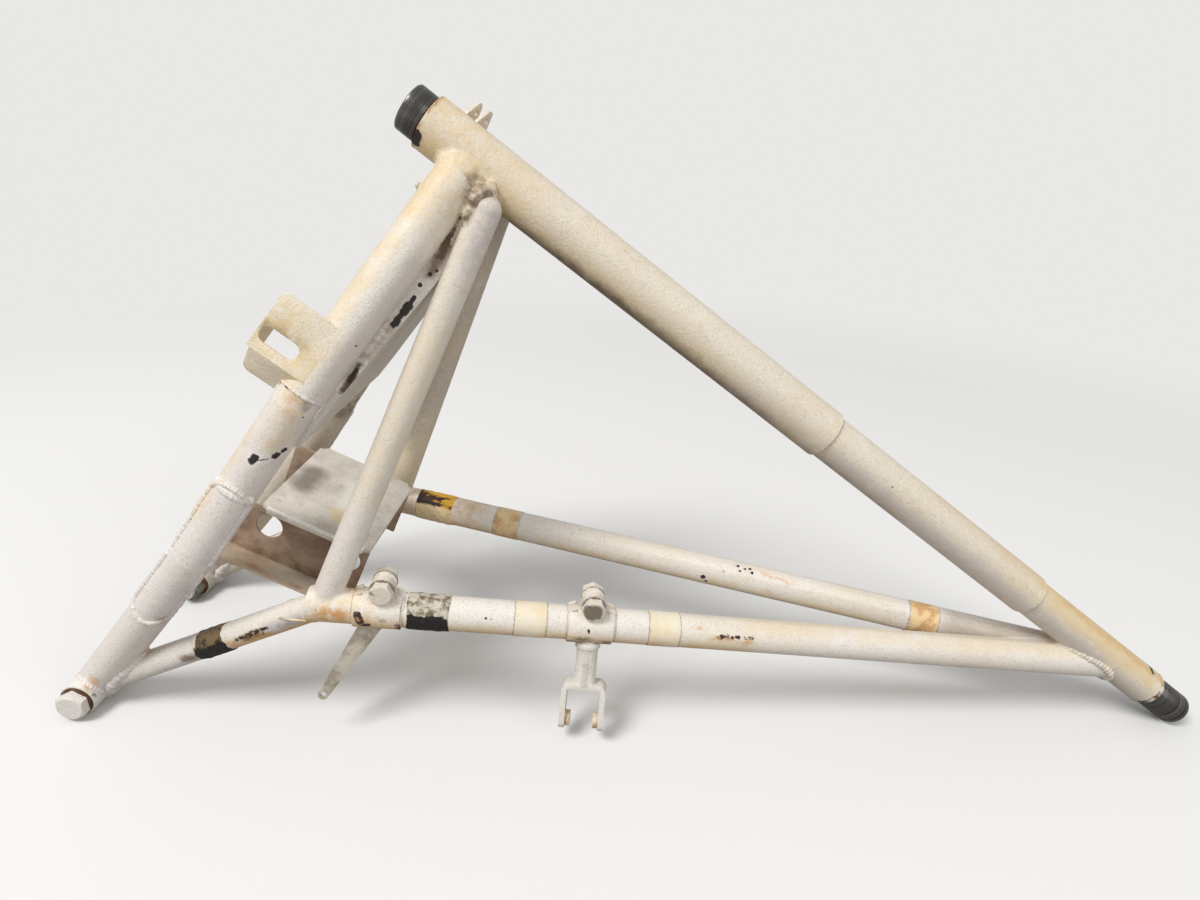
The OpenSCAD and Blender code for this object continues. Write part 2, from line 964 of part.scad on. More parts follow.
module fork_bushes() {
    bush_in = 3.6;
    color(stained)
        for (x = [-fork_out, fork_gap / 2 - bush_in])
            on_fork()
                translate([x, 0, fork_pin_down])
                    rotate([0, 90, 0])
                        difference() {
                            union() {
                                cylinder(d = fork_bore + 3, h = fork_arm + bush_in);
                                translate([0, 0, x < 0 ? fork_arm : 0])
                                    cylinder(d = fork_bore + 4.6, h = bush_in);
                            }
                            translate([0, 0, -1])
                                cylinder(d = fork_bore, h = fork_arm + bush_in + 2);
                        }
}

// Small fitting on the back of the neck
module grease_fitting() {
    color(paint)
        difference() {
            on_front_leg()
                translate([0, -sleeve_r - 2.6, 150.5])
                    rotate([-90, 0, 0])
                        rotate_extrude()
                            polygon([
                                [0, 0], [1.4, 0], [2, 1], [1.2, 1.8],
                                [2.8, 2], [2.8, 5], [0, 5]
                            ]);
            leg_outline(-1);
        }
}

// Thin wraps that guard the tubes: each is [start, end] along its tube
module band(p, q, r, span) {
    band_t = 0.35;
    difference() {
        bar(along(p, q, span[0]), along(p, q, span[1]), r + band_t);
        bar(p, q, r + eps);
    }
}

module chafe_bands() {
    color(black) {
        band(on(knee, -1), on(drag_end, -1), drag_r, [57, 84]);
        band(on(knee, 1), on(drag_end, 1), drag_r, [22, 54]);
        band(on(foot, -1), on(knee, -1), post_r, [101, 126]);
    }
}

module tape_bands() {
    color(stained) {
        for (span = [[129, 150], [223, 244]])
            band(on(knee, -1), on(drag_end, -1), drag_r, span);
        for (span = [[92, 112], [433, 454]])
            band(on(knee, 1), on(drag_end, 1), drag_r, span);
    }
}

module place() {
    translate([-mid_x, 0, 0])
        children();
}

place() pivot_tube();
place() pivot_tube_middle();
place() pivot_tube_lower();
place() upper_journal();
place() lower_journal();
place() lug_ears();
place() neck_saddle();
place() neck_gusset();
place() front_leg_tube();
place() rear_leg_tube();
place() front_leg_sleeve();
place() rear_leg_sleeve();
place() front_bend_doubler();
place() rear_bend_doubler();
place() front_post();
place() rear_post();
place() front_drag_tube();
place() rear_drag_tube();
place() front_toe_tube();
place() rear_toe_tube();
place() front_foot_boss();
place() rear_foot_boss();
place() foot_bolts();
place() foot_washers();
place() foot_nuts();
place() slotted_bracket();
place() seat_plate();
place() front_channel();
place() rear_channel();
place() arm_clamp();
place() fork_clamp();
place() clamp_bolts();
place() clamp_spacers();
place() clamp_washers();
place() clamp_nuts();
place() door_arm();
place() fork_clevis();
place() fork_bushes();
place() grease_fitting();
place() chafe_bands();
place() tape_bands();
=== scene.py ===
import bpy
import math
import random
from mathutils import Matrix, Vector


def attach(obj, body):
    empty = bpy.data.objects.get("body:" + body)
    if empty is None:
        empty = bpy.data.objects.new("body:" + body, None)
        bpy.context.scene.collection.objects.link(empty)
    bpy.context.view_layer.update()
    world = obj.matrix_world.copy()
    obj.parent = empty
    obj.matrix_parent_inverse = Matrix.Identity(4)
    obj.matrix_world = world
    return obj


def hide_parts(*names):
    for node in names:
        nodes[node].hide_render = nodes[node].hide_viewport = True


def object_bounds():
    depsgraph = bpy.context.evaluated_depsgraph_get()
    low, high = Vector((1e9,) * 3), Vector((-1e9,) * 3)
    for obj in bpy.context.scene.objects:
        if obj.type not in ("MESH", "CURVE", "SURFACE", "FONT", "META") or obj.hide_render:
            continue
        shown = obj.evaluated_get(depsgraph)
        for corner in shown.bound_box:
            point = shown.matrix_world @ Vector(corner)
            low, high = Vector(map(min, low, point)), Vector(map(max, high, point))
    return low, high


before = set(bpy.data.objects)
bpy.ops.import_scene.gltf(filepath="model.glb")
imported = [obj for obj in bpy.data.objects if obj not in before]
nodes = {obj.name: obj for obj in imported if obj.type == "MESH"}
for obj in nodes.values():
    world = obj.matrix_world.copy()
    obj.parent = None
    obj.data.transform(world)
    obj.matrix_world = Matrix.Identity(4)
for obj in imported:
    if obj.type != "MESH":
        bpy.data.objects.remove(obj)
cadBox = [list(corner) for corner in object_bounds()]
print("frame loaded:", len(nodes), "nodes")

# the truss's own points and radii, in millimetres, as the part's source has them
middleX = 408.4528
strut = {
    "foot": (0, 72.5, 12.7), "lowerBend": (103.6, 82.8, 138.9), "upperBend": (176.2, 70.5, 243.0),
    "neck": (263.6, 20.5, 368.1), "knee": (182.5, 77.3, 103.6), "postTop": (285.1, 22.6, 357.2),
    "dragEnd": (744.8, 2.2, 51.3), "upperTip": (234.6, 0, 411.5), "lowerTip": (822.4, 0, 10.5),
    "legRadius": 13.5, "sleeveRadius": 14.3, "postRadius": 9.525, "dragRadius": 11.9, "bossRadius": 12.7,
    "pivotRadius": 17.465, "pivotLowRadius": 14.285, "padRadius": 19.065,
}


def at(name, side=-1):  # a named point on the front (-1) or rear (1) truss, in metres
    x, y, z = strut[name]
    return Vector((x - middleX, y * side, z)) / 1000


def spot(x, y, z):  # any other place, given in millimetres from the middle of the footprint
    return Vector((x, y, z)) / 1000


def stepFrom(start, end, distance):  # the point so many millimetres from start towards end
    return start + (end - start).normalized() * distance / 1000


pivotTop, pivotLow = at("upperTip"), at("lowerTip")
pivotWay = (pivotLow - pivotTop).normalized()
kneeFront, dragFront, postFront = at("knee"), at("dragEnd"), at("postTop")
footFront, bendFront, highFront, neckFront = at("foot"), at("lowerBend"), at("upperBend"), at("neck")
kneeRear, dragRear = at("knee", 1), at("dragEnd", 1)
pivot = (pivotTop, pivotLow)
frontDrag, rearDrag, frontToe = (kneeFront, dragFront), (kneeRear, dragRear), (footFront, kneeFront)
frontSleeve, frontLeg, frontLowLeg = (highFront, neckFront), (bendFront, highFront), (footFront, bendFront)

down, leftUp = Vector((0, 0, -1)), Vector((-0.75, -0.1, 0.6))
dragWay = (dragFront - kneeFront).normalized()
clampUp = (Vector((0, 0, 1)) - dragWay * dragWay.z).normalized()
boltOut = dragWay.cross(clampUp)
boltOut = boltOut if boltOut.y < 0 else -boltOut
clamps = {"runs": (39.5, 181.5), "rise": 18.5, "out": 6.6}  # where their bolts stand on the front drag tube
clampMids = [stepFrom(*frontDrag, run) + clampUp * clamps["rise"] / 1000 for run in clamps["runs"]]

view = {
    "place": (-0.02885, -0.4673, 0.4047), "yaw": 0.042, "pitch": 0.418, "roll": 0.055,
    "lens": 21.64, "sensor": 36, "near": 0.01,
}
light = {
    "sky": 0.5, "key": 143.0, "keyPlace": (-2.0, -1.8, 3.8), "keySize": 1.9,
    "fill": 30.0, "fillPlace": (2.6, -2.2, 1.8), "fillSize": 2.6, "aim": (-0.05, 0, 0.18),
    "floorTone": (233, 232, 230), "bounceTone": (158, 156, 153),
    "floorRadius": 14, "floorSides": 48,
    "glowFrom": 0.75, "glowTo": 1.6,  # how far out the floor starts and ends turning into backdrop
}


def tone(red, green, blue):  # a screen colour as Blender's linear one
    channels = [c / 255 for c in (red, green, blue)]
    return tuple(c / 12.92 if c <= 0.04045 else ((c + 0.055) / 1.055) ** 2.4 for c in channels) + (1.0,)


def buildCamera():
    yaw, pitch, roll = view["yaw"], view["pitch"], view["roll"]
    ahead = Vector((-math.sin(yaw) * math.cos(pitch), math.cos(yaw) * math.cos(pitch), -math.sin(pitch)))
    right = Vector((math.cos(yaw), math.sin(yaw), 0))
    up = right.cross(ahead)
    rightRolled = right * math.cos(roll) + up * math.sin(roll)
    upRolled = up * math.cos(roll) - right * math.sin(roll)
    camera = bpy.data.objects.new("camera", bpy.data.cameras.new("camera"))
    camera.data.lens = view["lens"]
    camera.data.sensor_width = view["sensor"]
    camera.data.clip_start = view["near"]
    turn = Matrix((rightRolled, upRolled, -ahead)).transposed().to_4x4()
    camera.matrix_world = Matrix.Translation(view["place"]) @ turn
    bpy.context.scene.collection.objects.link(camera)
    bpy.context.scene.camera = camera


def addNode(tree, kind, settings=None, inputs=None):  # a node with its settings, then its values and links
    made = tree.nodes.new(kind)
    for key, value in (settings or {}).items():
        setattr(made, key, value)
    for key, value in (inputs or {}).items():
        if isinstance(value, bpy.types.NodeSocket):
            tree.links.new(value, made.inputs[key])
        else:
            made.inputs[key].default_value = value
    return made


class Value:  # wraps a socket so that sums on it add Math nodes
    def __init__(self, finish, socket):
        self.finish = finish
        self.socket = socket

    def maths(self, operation, first, second=0.0, clamp=False):
        settings = {"operation": operation, "use_clamp": clamp}
        return self.finish.node("ShaderNodeMath", settings, {0: first, 1: second})

    def __add__(self, other):
        return self.maths("ADD", self, other)

    def __radd__(self, other):
        return self.maths("ADD", other, self)

    def __sub__(self, other):
        return self.maths("SUBTRACT", self, other)

    def __rsub__(self, other):
        return self.maths("SUBTRACT", other, self)

    def __mul__(self, other):
        return self.maths("MULTIPLY", self, other)

    def __rmul__(self, other):
        return self.maths("MULTIPLY", other, self)

    def most(self, other):
        return self.maths("MAXIMUM", self, other)

    def clipped(self):
        return self.maths("ADD", self, 0.0, True)

    def size(self):
        return self.maths("ABSOLUTE", self)


class Finish:  # one material and the helpers that draw its wear
    def __init__(self, name):
        self.material = bpy.data.materials.new(name)
        self.material.use_nodes = True
        self.tree = self.material.node_tree
        self.tree.nodes.clear()
        self.place = self.node("ShaderNodeTexCoord", out="Object")

    def node(self, kind, settings=None, inputs=None, out=0):
        plain = {key: getattr(value, "socket", value) for key, value in (inputs or {}).items()}
        return Value(self, addNode(self.tree, kind, settings, plain).outputs[out])

    def vector(self, operation, first, second=(0, 0, 0), out=0):
        return self.node("ShaderNodeVectorMath", {"operation": operation}, {0: first, 1: second}, out)

    def scaled(self, way, factor):
        return self.node("ShaderNodeVectorMath", {"operation": "SCALE"}, {0: way, "Scale": factor})

    def cloud(self, spot, scale, detail, rough, out=0):
        settings = {"Vector": spot, "Scale": scale, "Detail": detail, "Roughness": rough}
        return self.node("ShaderNodeTexNoise", {}, settings, out)

    def noise(self, scale, detail=4.0, rough=0.55, seed=0.0, stretch=None):
        spot = self.vector("MULTIPLY", self.place, stretch) if stretch else self.place
        spot = self.vector("ADD", spot, (seed * 1.37, seed * 0.71, seed * 2.11))
        return self.cloud(spot, scale, detail, rough)

    def warped(self, amount, scale, seed=3.0, detail=5.0, rough=0.65):  # the place, pushed about by noise
        spot = self.vector("ADD", self.place, (seed, seed * 0.5, seed * 0.3))
        push = self.vector("SUBTRACT", self.cloud(spot, scale, detail, rough, "Color"), (0.5, 0.5, 0.5))
        return self.vector("ADD", self.place, self.scaled(push, amount * 2))

    def rise(self, value, low, high):  # 0 below low, 1 above high, smooth between
        inputs = {0: value, 1: low, 2: high, 3: 0.0, 4: 1.0}
        return self.node("ShaderNodeMapRange", {"interpolation_type": "SMOOTHSTEP"}, inputs)

    def spread(self, spot, start, end, radius, soft):  # a round mark, or a long one from start to end
        if end is None:
            far = self.vector("DISTANCE", spot, start, 1)
        else:
            way = end - start
            off = self.vector("SUBTRACT", spot, start)
            share = self.vector("DOT_PRODUCT", off, way / way.length_squared, 1).clipped()
            far = self.vector("LENGTH", self.vector("SUBTRACT", off, self.scaled(tuple(way), share)), out=1)
        return self.rise(far, radius * (1 + soft), radius * (1 - soft))

    def across(self, start, way, spot=None):  # millimetres from start along a direction
        return self.vector("DOT_PRODUCT", self.vector("SUBTRACT", spot or self.place, start), way * 1000, 1)

    def run(self, start, end, spot=None):  # millimetres along a tube
        return self.across(start, (end - start).normalized(), spot)

    def band(self, run, low, high, soft=1.0):
        return self.rise(run, low - soft, low + soft) * self.rise(run, high + soft, high - soft)

    def sideways(self):  # the place's y, whose sign tells the front from the rear
        return self.node("ShaderNodeSeparateXYZ", {}, {0: self.place}, 1)

    def blend(self, mask, under, over):
        return self.node("ShaderNodeMix", {"data_type": "RGBA"}, {0: mask, 6: under, 7: over}, 2)

    def show(self, surface):
        addNode(self.tree, "ShaderNodeOutputMaterial", {}, {"Surface": surface.socket})
        return self.material

    def close(self, colour, rough, height, metallic=0.0, coat=0.0, coatRough=0.2, relief=0.4, depth=0.001):
        bump = self.node("ShaderNodeBump", {}, {"Height": height, "Strength": relief, "Distance": depth})
        return self.show(self.node("ShaderNodeBsdfPrincipled", {}, {
            "Base Color": colour, "Roughness": rough, "Metallic": metallic, "Coat Weight": coat,
            "Coat Roughness": coatRough, "Normal": bump}))


# the worn enamel: its colours, and the kinds of mark in the order in which they are painted; lilac, and some
# grime and umber marks, are painted shade
cream = {
    "paint": tone(238, 231, 221), "warm": tone(228, 212, 180), "stain": tone(224, 196, 144),
    # grime is dirt, and also painted shade where it lies along undersides and in crevices
    "orange": tone(206, 152, 88), "grimeAndShade": tone(120, 98, 72), "rust": tone(110, 64, 32),
    # umber is dirt and chip pits, and also painted shade under the pivot tube and down the neck's crevices
    "bare": tone(44, 36, 28), "olive": tone(96, 88, 66), "umber": tone(84, 60, 40),
    # lilac is a pinkish grey used only as painted shade, on undersides and in crevices
    "lilacShade": tone(202, 193, 191), "pale": tone(240, 235, 227), "burnt": tone(62, 38, 24), "rough": 0.4,
}
markKinds = {  # how soft the edge is, as a share of the radius, and whether clouds break the mark up
    "lilacShade": (0.8, True), "warm": (0.8, True), "pale": (0.25, False), "stain": (0.8, True),
    "orange": (0.6, True), "grimeAndShade": (0.8, True), "umber": (0.5, True), "olive": (0.12, False),
    "rust": (0.3, True), "burnt": (0.15, False), "bare": (0.12, False),
}
chips = {"torn": 0.0014, "rimmed": 0.0008, "rim": 0.0005, "pinScale": 95.0}  # metres, but for the scale
finishes = {}


def mark(radius, start, end=None, strength=1.0, cloudy=None):  # millimetres, but for a Vector in metres
    start, end = (p if p is None or isinstance(p, Vector) else spot(*p) for p in (start, end))
    return {"start": start, "end": end, "radius": radius / 1000, "strength": strength, "cloudy": cloudy}


def creamPaint(name, marks=None, yellowing=0.35, seed=1.0, base=cream["paint"], chipping=0.5, tints=()):
    f, marks = Finish(name), marks or {}
    ragged = f.warped(0.003, 300, seed, 9.0, 0.85)
    torn = f.warped(0.0012, 460, seed + 1, 7.0, 0.8)
    wavy = f.warped(0.006, 60, seed + 4)
    cloud = f.noise(16, 5, 0.62, seed)
    broad = f.noise(7, 3, 0.5, seed + 7)
    patchy = f.noise(150, 5, 0.65, seed + 5)
    fine = f.noise(1100, 3, 0.65, seed + 2)
    colour = f.blend(f.rise(broad, 0.42, 0.68) * yellowing, base, cream["warm"])
    colour = f.blend(f.rise(cloud, 0.52, 0.74) * yellowing * 0.4, colour, cream["stain"])
    colour = f.blend(f.rise(f.noise(48, 5, 0.65, seed + 11), 0.54, 0.72) * 0.4, colour, cream["pale"])
    colour = f.blend(f.rise(patchy, 0.52, 0.8) * 0.2, colour, cream["grimeAndShade"])
    colour = f.blend(f.rise(fine, 0.5, 0.72) * 0.42, colour, cream["grimeAndShade"])
    colour = f.blend(f.rise(f.noise(520, 4, 0.6, seed + 3), 0.54, 0.7) * 0.4, colour, cream["pale"])
    for tint in tints:
        colour = tint(f, colour, wavy, ragged, patchy)

    def shapeOf(kind, m, wider=0.0):
        place = wavy
        if kind in ("bare", "pale", "rust", "burnt"):
            place = ragged if m["radius"] > chips["torn"] else torn
        return f.spread(place, m["start"], m["end"], m["radius"] + wider, markKinds[kind][0])

    for m in marks.get("bare", ()):  # the lifted rim of paint round each large chip
        if m["radius"] > chips["rimmed"]:
            colour = f.blend(shapeOf("bare", m, chips["rim"]) * 0.55, colour, cream["pale"])
    worn = []
    for kind, (_, clouded) in markKinds.items():
        for m in marks.get(kind, ()):
            shape = shapeOf(kind, m)
            if clouded if m["cloudy"] is None else m["cloudy"]:
                shape = shape * f.rise(patchy, 0.30, 0.60)
            if kind == "burnt":
                shape = shape * f.rise(f.noise(300, 4, 0.7, seed + 6), 0.40, 0.48)
            colour = f.blend(shape * m["strength"], colour, cream[kind])
            if kind in ("bare", "rust", "burnt"):
                worn.append(shape)
    dots = {"Vector": ragged, "Scale": chips["pinScale"], "Randomness": 1.0}
    pins = f.rise(f.node("ShaderNodeTexVoronoi", {}, dots, "Distance"), 0.12, 0.08)
    pins = pins * f.rise(f.noise(34, 2, 0.5, seed + 9), 0.62, 0.66) * chipping
    colour = f.blend(pins, colour, cream["umber"])
    worn.append(pins)
    hollow = worn[0]
    for shape in worn[1:]:
        hollow = hollow.most(shape)
    height = 1.0 - hollow * 0.9 + fine * 0.3 + f.noise(420, 3, 0.6, seed) * 0.4 + patchy * 0.15
    rough = cream["rough"] + cloud * 0.16 + hollow * 0.25
    finishes[name] = f.close(colour, rough, height, coat=0.12, coatRough=0.3, relief=0.85)


def shadedSide(tube, way, kind, reach=(2, 14), strength=0.5, low=-900, high=2000, noisy=True):
    # a tint on one side of a tube, growing from reach[0] to reach[1] millimetres off its axis
    start, end = tube
    axis = (end - start).normalized()
    cross = (way.normalized() - axis * way.normalized().dot(axis)).normalized()

    def add(f, colour, wavy, ragged, patchy):
        mask = f.rise(f.across(start, cross, wavy), *reach) * f.band(f.run(start, end, wavy), low, high, 8)
        if noisy:
            mask = mask * f.rise(f.noise(38, 5, 0.6, 8), 0.3, 0.56)
        return f.blend(mask * strength, colour, cream[kind])
    return add


def ringLines(tube, *lines):  # thin broken lines round a tube: place, width, kind, strength, how broken
    def line(place, wide, kind, strength, broken):
        def add(f, colour, wavy, ragged, patchy):
            mask = f.band(f.run(*tube, ragged), place - wide / 2, place + wide / 2, 0.35)
            mask = mask * f.rise(patchy, broken - 0.12, broken + 0.05)
            return f.blend(mask * strength, colour, cream[kind])
        return add
    return [line(*each) for each in lines]


def steelFinish(name, tube, dark, bright, rough, edge):  # turned steel, rusty along the paint's edge
    f = Finish(name)
    turned = {"noise_dimensions": "1D"}
    run = f.run(*tube)
    rings = f.node("ShaderNodeTexNoise", turned, {"W": run, "Scale": 0.35, "Detail": 6.0, "Roughness": 0.8})
    fineRings = f.node("ShaderNodeTexNoise", turned, {"W": run, "Scale": 9.0, "Detail": 2.0})
    smear = f.noise(120, 4, 0.6, 3)
    colour = f.blend(f.rise(rings, 0.3, 0.75), dark, bright)
    colour = f.blend(f.rise(smear, 0.55, 0.75) * 0.5, colour, cream["umber"])
    rusty = f.band(f.run(*tube, f.warped(0.001, 300)), edge - 1.2, edge + 1.2, 0.5)
    colour = f.blend(rusty * 0.8, colour, cream["rust"])
    height = fineRings * 0.5 + rings
    finishes[name] = f.close(colour, rough + smear * 0.2, height, metallic=0.75, relief=0.25, depth=0.0002)


def metalFinish(name, colour, over, rough, metallic, scale=160.0, marks=()):
    f = Finish(name)
    wavy = f.warped(0.004, 90, 2.0)
    cloud = f.noise(scale, 6, 0.65, 2.0)
    fine = f.noise(scale * 5, 3, 0.6, 3.0)
    mixed = f.blend(f.rise(cloud, 0.40, 0.66), colour, over)
    mixed = f.blend(f.rise(fine, 0.55, 0.75) * 0.3, mixed, cream["grimeAndShade"])
    for start, end, radius, tint, strength in marks:
        mixed = f.blend(f.spread(wavy, start, end, radius, 0.7) * strength, mixed, tint)
    finishes[name] = f.close(mixed, rough + cloud * 0.25, cloud + fine * 0.4, metallic=metallic, depth=0.0006)


creamPaint("pivotPaint", {
    # painted shade: a lilac line along the front of the tube's lower side
    "lilacShade": [mark(9, (40, -15, 250), (330, -10, 62), 0.5)],
    "stain": [
        mark(24, stepFrom(pivotTop, pivotLow, 30), strength=0.75),
        mark(22, stepFrom(pivotTop, pivotLow, 75), strength=0.6),
        mark(9, (185, 8, 194), (300, 8, 116), 0.55), mark(6, (277, -5, 119), (400, -5, 35), 0.9),
    ],
    "orange": [mark(2.5, (300, -6, 103), (396, -7, 37), 0.4)],
    # painted shade: dark lines along the tube's underside right of the neck
    "grimeAndShade": [mark(7, (0, -7, 268), (120, -6, 186), 0.45)],
    "umber": [mark(8, (-108, -9, 341), (-60, -8, 309), 0.7), mark(7, (-60, -8, 309), (0, -7, 268), 0.5)],
    "bare": [
        mark(3.2, (-166.8, -12.6, 392.6), (-164.9, -15.8, 396.4)), mark(1.5, (153.0, -14.2, 192.0)),
        mark(1.0, (156.5, -13.4, 190.4)), mark(0.7, (160.5, -12.6, 189.4)),
        mark(1.3, (183.4, -12.6, 159.1)), mark(2.4, (381.5, -5.3, 46.0), (383.5, 3.0, 49.5)),
    ],
}, yellowing=0.55, seed=1, base=tone(230, 219, 200), tints=[
    shadedSide(pivot, down, "stain", (-6, 12), 0.55, -20, 420),
    shadedSide(pivot, -down, "stain", (1, 5), 0.6, 552, 668),
    shadedSide(pivot, -down, "orange", (9, 16), 0.25, 430, 680),
    # painted shade: lilac, grime and umber darken the tube's underside
    shadedSide(pivot, down, "lilacShade", (-2, 4), 0.45, 345, 690, noisy=False),
    shadedSide(pivot, down, "grimeAndShade", (7, 18), 0.55, 60, 420, noisy=False),
    shadedSide(pivot, down, "umber", (6, 17), 0.6, 70, 300),
    *ringLines(
        pivot, (15.6, 2.2, "orange", 0.5, 0.46), (15.0, 1.2, "rust", 0.9, 0.5),
        (676.6, 3.4, "bare", 0.95, 0.52), (675.6, 1.4, "rust", 0.8, 0.46), (338.2, 0.8, "grimeAndShade", 0.7, 0.40),
        (543.2, 0.8, "grimeAndShade", 0.7, 0.40)),
])
creamPaint("neckPaint", {
    # painted shade: lilac in the crevice where the post meets the neck
    "lilacShade": [mark(9, (-119, -31, 352), (-123, -33, 345), 0.8)],
    "stain": [mark(24, (-142, -18, 372), strength=0.7)],
    "grimeAndShade": [
        mark(9, (-127, -28, 366), strength=0.8), mark(3, (-135, -24, 374), (-120, -20, 372), 0.5),
        mark(7, (-131.7, -25.8, 367), strength=0.7),
    ],
    "umber": [
        mark(3.4, (-129, -30, 363), (-121, -26, 368), 0.8),
        mark(2.6, (-131, -32, 356), (-134, -34, 350), 0.8),
        # painted shade: a dark line down the crevice between sleeve and post
        mark(3.0, (-134, -30, 352), (-152, -35, 322), 0.9),
    ],
}, yellowing=0.9, seed=3, base=tone(228, 216, 194))
creamPaint("sleevePaint", {
    "stain": [mark(22, (-150, -34, 368), strength=0.6), mark(12, (-232, -70, 268), (-215, -72, 285), 0.8)],
    "grimeAndShade": [mark(6, (-131.7, -26, 369.5), strength=0.6)],
    "umber": [mark(0.5, (-228, -79, 259), (-212, -77, 252), 0.6)],
    "bare": [mark(1.1, (-224.5, -79.2, 256.2), (-230.5, -79.2, 257.6)), mark(0.7, (-193.1, -63.2, 280.7))],
}, yellowing=0.4, seed=5, tints=[
    shadedSide(frontSleeve, leftUp, "stain", (0, 9), 0.55, 5, 170),
    # painted shade: lilac along the sleeve's underside
    shadedSide(frontSleeve, down, "lilacShade", (-4, 6), 0.6, -20, 118, noisy=False),
])
creamPaint("gussetPaint", {
    "pale": [
        mark(1.6, (-179, -48, 291), (-188, -53, 277.6), 0.8),
        mark(4.0, (-193.6, -56.8, 267.6), (-203.8, -63, 251.7), 0.9),
    ],
    "grimeAndShade": [
        # painted shade: a dark line at the top of the gusset, in the crevice between the legs
        mark(3.5, (-143.9, -28.3, 339.6), (-154.9, -35.5, 321.0), 0.95, cloudy=False),
        mark(5, (-178, -50, 290), (-200, -60, 262), 0.5),
    ],
    "umber": [
        mark(1.8, (-194.6, -57.2, 266.6), (-203.0, -62.6, 253.0), 0.95, cloudy=False),
        # painted shade: the same crevice line, in umber
        mark(3.0, (-141, -27, 344), (-149, -31, 331), 0.9, cloudy=False),
    ],
    "rust": [mark(1.6, (-199, -60, 260), (-205, -63, 251), 0.6)],
    "bare": [
        mark(1.2, (-154.9, -35.5, 320.1)), mark(1.0, (-150.9, -34.2, 321.9)),
        mark(1.4, (-160.5, -38.3, 313.7)), mark(1.4, (-163.6, -40.8, 306.6), (-168.6, -43.6, 299.0)),
        mark(2.6, (-167.0, -42.8, 301.6), (-169.4, -44.0, 298.2)),
        mark(1.7, (-169.4, -44.0, 298.2), (-175.4, -47.2, 290.5)),
        mark(2.3, (-173.4, -46.2, 293.0), (-174.6, -46.8, 291.4)),
        mark(1.1, (-196.0, -58.2, 264.4), (-200.4, -61.0, 257.4)),
    ],
}, yellowing=0.35, seed=6, base=tone(214, 206, 196))
creamPaint("legPaint", {
    "pale": [
        mark(4.6, (-252.4, -88.0, 213.2)), mark(4.0, (-239.0, -83.0, 215.2), (-252.4, -88.0, 213.2), 0.5),
    ],
    "stain": [mark(7, (-226, -80, 252), (-240, -82, 222), 0.6)],
    "orange": [
        mark(3.2, (-225, -81, 253), (-232, -82, 236), 0.35), mark(4.5, (-397, -86, 28), strength=0.7),
        mark(3.2, (-360, -76, 49), strength=0.9),
    ],
    "grimeAndShade": [mark(3.2, (-331, -91, 92), strength=0.6), mark(3.0, (-220.5, -80, 246), strength=0.6)],
    "umber": [mark(1.6, (-398, -89, 22), (-394, -88, 27), 0.9)],
    "bare": [
        mark(2.4, (-251.4, -87.8, 214.6), (-253.4, -88.0, 212.4)), mark(2.0, (-253.4, -88.2, 211.8)),
        mark(2.0, (-240.9, -83.9, 214.1), (-239.6, -83.2, 214.9)),
        mark(1.8, (-236.4, -81.1, 216.6), (-235.4, -80.4, 217.4)),
        mark(0.35, (-252.4, -88.2, 212.6), (-240.9, -84.1, 213.2)), mark(0.7, (-349.4, -86.0, 103.5)),
        mark(0.6, (-222.4, -79.4, 239.4)), mark(0.5, (-219.6, -78.6, 238.6)),
    ],
}, yellowing=0.10, seed=9, base=tone(232, 225, 218), tints=[
    shadedSide(frontLeg, leftUp, "stain", (4, 12), 0.35, 30, 200),
    # painted shade: lilac along the leg's underside
    shadedSide(frontLowLeg, down, "lilacShade", (3, 13), 0.5),
    shadedSide(frontLeg, down, "lilacShade", (3, 13), 0.5),
])
# painted shade: the rear leg's base is darker and browner than the front leg's cream
creamPaint("rearLegPaint", {
    "umber": [mark(12, (-226, 62, 238), (-262, 72, 186), 0.7)],
    "rust": [mark(5, (-234, 60, 226), (-246, 66, 208), 0.5)],
    "bare": [mark(1.4, (-236, 58, 231))],
}, yellowing=0.5, seed=11, base=tone(206, 194, 176))
creamPaint("bracketPaint", {
    "stain": [mark(16, (-236, -74, 292), strength=0.8), mark(12, (-222, -72, 270), strength=0.8)],
    "grimeAndShade": [mark(4, (-247, -77, 296), (-222, -70, 280), 0.5)],
}, yellowing=0.55, seed=12, base=tone(238, 226, 203))
creamPaint("postPaint", {
    # painted shade: lilac in the crevice under the neck
    "lilacShade": [mark(9, (-119, -31, 352), (-128, -36, 330), 0.8)],
    "warm": [mark(12, (-150, -48, 285), (-190, -66, 190), 0.6)],
    "grimeAndShade": [mark(5, (-124, -26, 364), strength=0.8), mark(2.2, (-214, -86, 122), (-208, -84, 134), 0.4)],
}, yellowing=0.3, seed=14, base=tone(224, 215, 205), tints=[
    shadedSide((kneeFront, postFront), Vector((1, 0, 0)), "pale", (-2, 8), 0.35),
])
creamPaint("rearPostPaint", yellowing=0.7, seed=15, base=tone(206, 194, 178))
